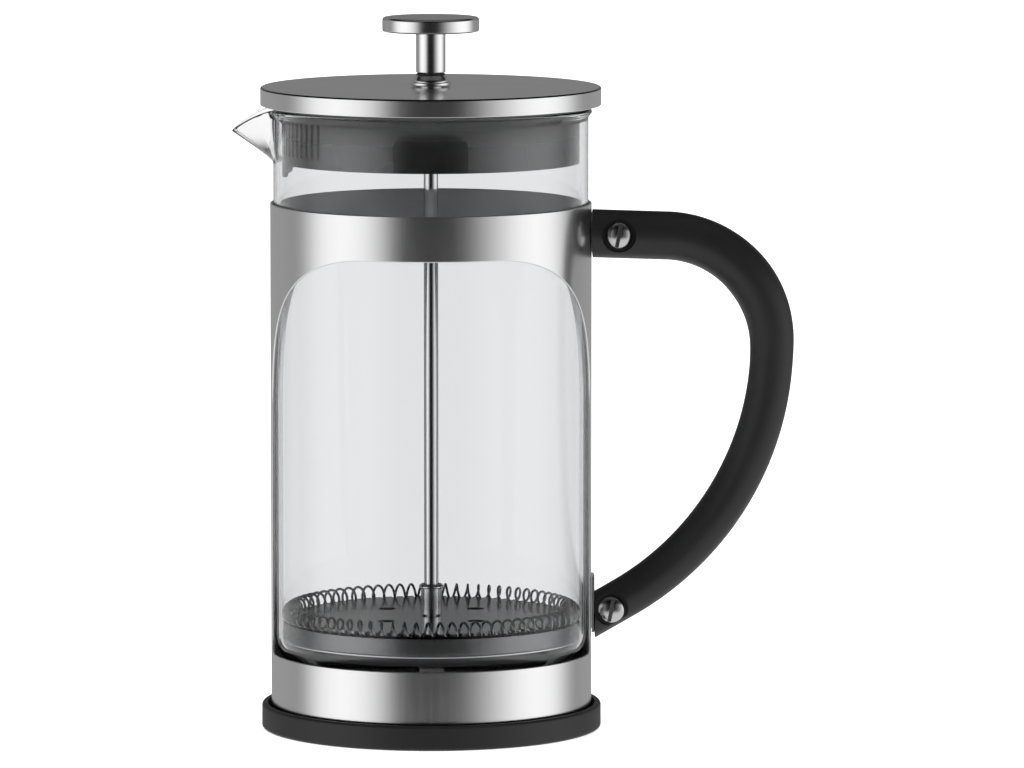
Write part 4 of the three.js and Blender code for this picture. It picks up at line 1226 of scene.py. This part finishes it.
# Light levels are shares of white. Angles are degrees from the front to either side. Heights
# are those of a ray's direction, from -1 straight down to 1 straight up.
DIFFUSE_LEVEL = 1.35
TABLE_LEVEL = 0.85
TABLE_GLOW = 0.42
TABLE_HALF_SIZE = 40
TABLE_DROP = 0.02 * MM
STUDIO_LEVEL = 1.3
STUDIO = (  # angle and level of the wall
    (0, 0.008), (14, 0.018), (20, 0.05), (26, 0.172), (32, 0.45), (38, 0.69), (44, 0.865),
    (50, 1.0), (56, 1.065), (64, 1.13), (72, 1.125), (80, 1.06), (88, 0.92), (96, 0.645),
    (104, 0.38), (112, 0.28), (120, 0.3), (130, 0.327), (180, 0.33),
)
STUDIO_LAG = 14  # turned back on the handle's side
WALL_TOP = (0.2, 0.42)
TABLE_EDGE = (-0.2, -0.34)
WALL_TOP_LEVEL = 0.05
BACK_WALL_RISE = 0.17
CEILING_GLOW = (0.6, 0.95, 0.1)  # from, to and up to what level
BACK_SHADE = 0.3

CAMERA_PLACE = (0, -2.586, 0.4004)
CAMERA_AIM = (0.0251, 0, 0.107)
CAMERA_LENS = 294.8
CAMERA_SENSOR = 36


def lit_world():
    """A light tent: bright side walls, a dark front and ceiling, a white table below.

    The camera sees plain white, and matt surfaces get even light. The tent is what glass and
    steel show.
    """
    world = bpy.data.worlds.new("studio")
    bpy.context.scene.world = world
    world.use_nodes = True
    nodes = Nodes(world.node_tree)
    add, step = nodes.math, nodes.step

    def sector(angle, start, end):
        return step(angle, start / 180, end / 180)

    x, y, z = nodes.split(nodes.node("TexCoord").outputs["Generated"])
    azimuth = add("DIVIDE", add("ARCTAN2", x, add("MULTIPLY", y, -1)), math.pi)
    lag = add("MULTIPLY", sector(azimuth, 15, 60), sector(azimuth, 170, 130))
    lag = add("MULTIPLY", lag, STUDIO_LAG / 180)
    turn = add("MAXIMUM", add("MULTIPLY", azimuth, -1), add("SUBTRACT", azimuth, lag))
    ramp = nodes.node("ValToRGB")
    ramp.color_ramp.interpolation = "B_SPLINE"
    elements = ramp.color_ramp.elements
    while len(elements) < len(STUDIO):
        elements.new(0.5)
    for element, (degrees, level) in zip(elements, STUDIO):
        element.position = degrees / 180
        element.color = (*grey(level / STUDIO_LEVEL), 1)
    nodes.plug(turn, ramp.inputs[0])

    # The side walls end at the ceiling, which glows a little. The back wall is higher.
    height = add("SUBTRACT", z, add("MULTIPLY", sector(turn, 99, 135), BACK_WALL_RISE))
    dark = WALL_TOP_LEVEL * STUDIO_LEVEL
    lit_below = nodes.mapped(height, *WALL_TOP, STUDIO_LEVEL, dark, "SMOOTHSTEP")
    ceiling = step(z, *CEILING_GLOW)
    walls = add("MULTIPLY_ADD", ramp.outputs[0], lit_below, ceiling)
    shade = add("MULTIPLY", sector(turn, 108, 135), step(z, 0.0, 0.04))
    walls = add("MULTIPLY", walls, add("MULTIPLY_ADD", shade, -BACK_SHADE, 1))

    # Through glass the back wall is white below the horizon. A ray straight through the beaker
    # crosses four faces. One with another count, such as along a wall, sees more of the white.
    path, through = nodes.camera_rays()
    faces_crossed = path["Transmission Depth"]
    inside_glass = add("GREATER_THAN", faces_crossed, 0.5)
    off_glass = add("SUBTRACT", 1, add("COMPARE", faces_crossed, 4, 0.5))
    wide = add("MULTIPLY", off_glass, sector(turn, 90, 122.4))
    wide = add("MAXIMUM", sector(turn, 151.2, 162), wide)
    backdrop = add("MULTIPLY", inside_glass, add("MULTIPLY", wide, step(z, 0.02, -0.03)))
    walls = add("MAXIMUM", walls, backdrop)

    studio = nodes.between(step(z, *TABLE_EDGE), walls, TABLE_LEVEL)
    diffuse = add("GREATER_THAN", path["Diffuse Depth"], 0.5)
    lit = nodes.between(diffuse, studio, DIFFUSE_LEVEL)
    level = nodes.between(add("MAXIMUM", path["Is Camera Ray"], through), lit, 1.0)
    background = nodes.tree.nodes["Background"]
    nodes.plug(level, background.inputs["Color"])
    nodes.plug(1, background.inputs["Strength"])


def table():
    """A white table with the shadow under the base, there for the camera alone."""
    finish = Finish("floor")
    grain = finish.noise(finish.place(), 30)
    finish.set("Base Color", finish.mixed(grain, grey(0.89), grey(0.91)))
    finish.set("Roughness", 1)
    finish.set("Specular IOR Level", 0)
    finish.set("Emission Color", grey(1))
    finish.set("Emission Strength", TABLE_GLOW)
    path, through = finish.camera_rays()
    beyond = finish.layered(through, finish.node("BsdfTransparent"), finish.node("Emission"))
    seen = finish.layered(path["Is Camera Ray"], beyond, finish.shader)
    finish.plug(seen.outputs[0], finish.tree.nodes["Material Output"].inputs["Surface"])
    corners = [
        Vector((x * TABLE_HALF_SIZE, y * TABLE_HALF_SIZE, -TABLE_DROP))
        for x, y in ((-1, -1), (1, -1), (1, 1), (-1, 1))
    ]
    made = raw_object("floor", (corners, [(0, 1, 2, 3)]), clean=False)
    made.data.materials.append(finish.material)


def camera():
    data = bpy.data.cameras.new("camera")
    data.lens = CAMERA_LENS
    data.sensor_width = CAMERA_SENSOR
    data.clip_end = 100
    made = linked("camera", data)
    made.location = CAMERA_PLACE
    made.rotation_mode = "QUATERNION"
    made.rotation_quaternion = (Vector(CAMERA_AIM) - made.location).to_track_quat("-Z", "Y")
    bpy.context.scene.camera = made


camera()
lit_world()
table()

base_ring()
steel_frame()
handle()
bracket("upper_saddle", "upper_screw", "upper_bracket")
bracket("lower_saddle", "lower_screw", "lower_bracket")
fasteners()
beaker()
lid_cover()
lid_liner()
ferrule()
bush_nut()
knob()
rod()
hub()
coil()
spiral_plate()
mesh_filter()
cross_plate()

bpy.context.scene.view_settings.view_transform = "Standard"
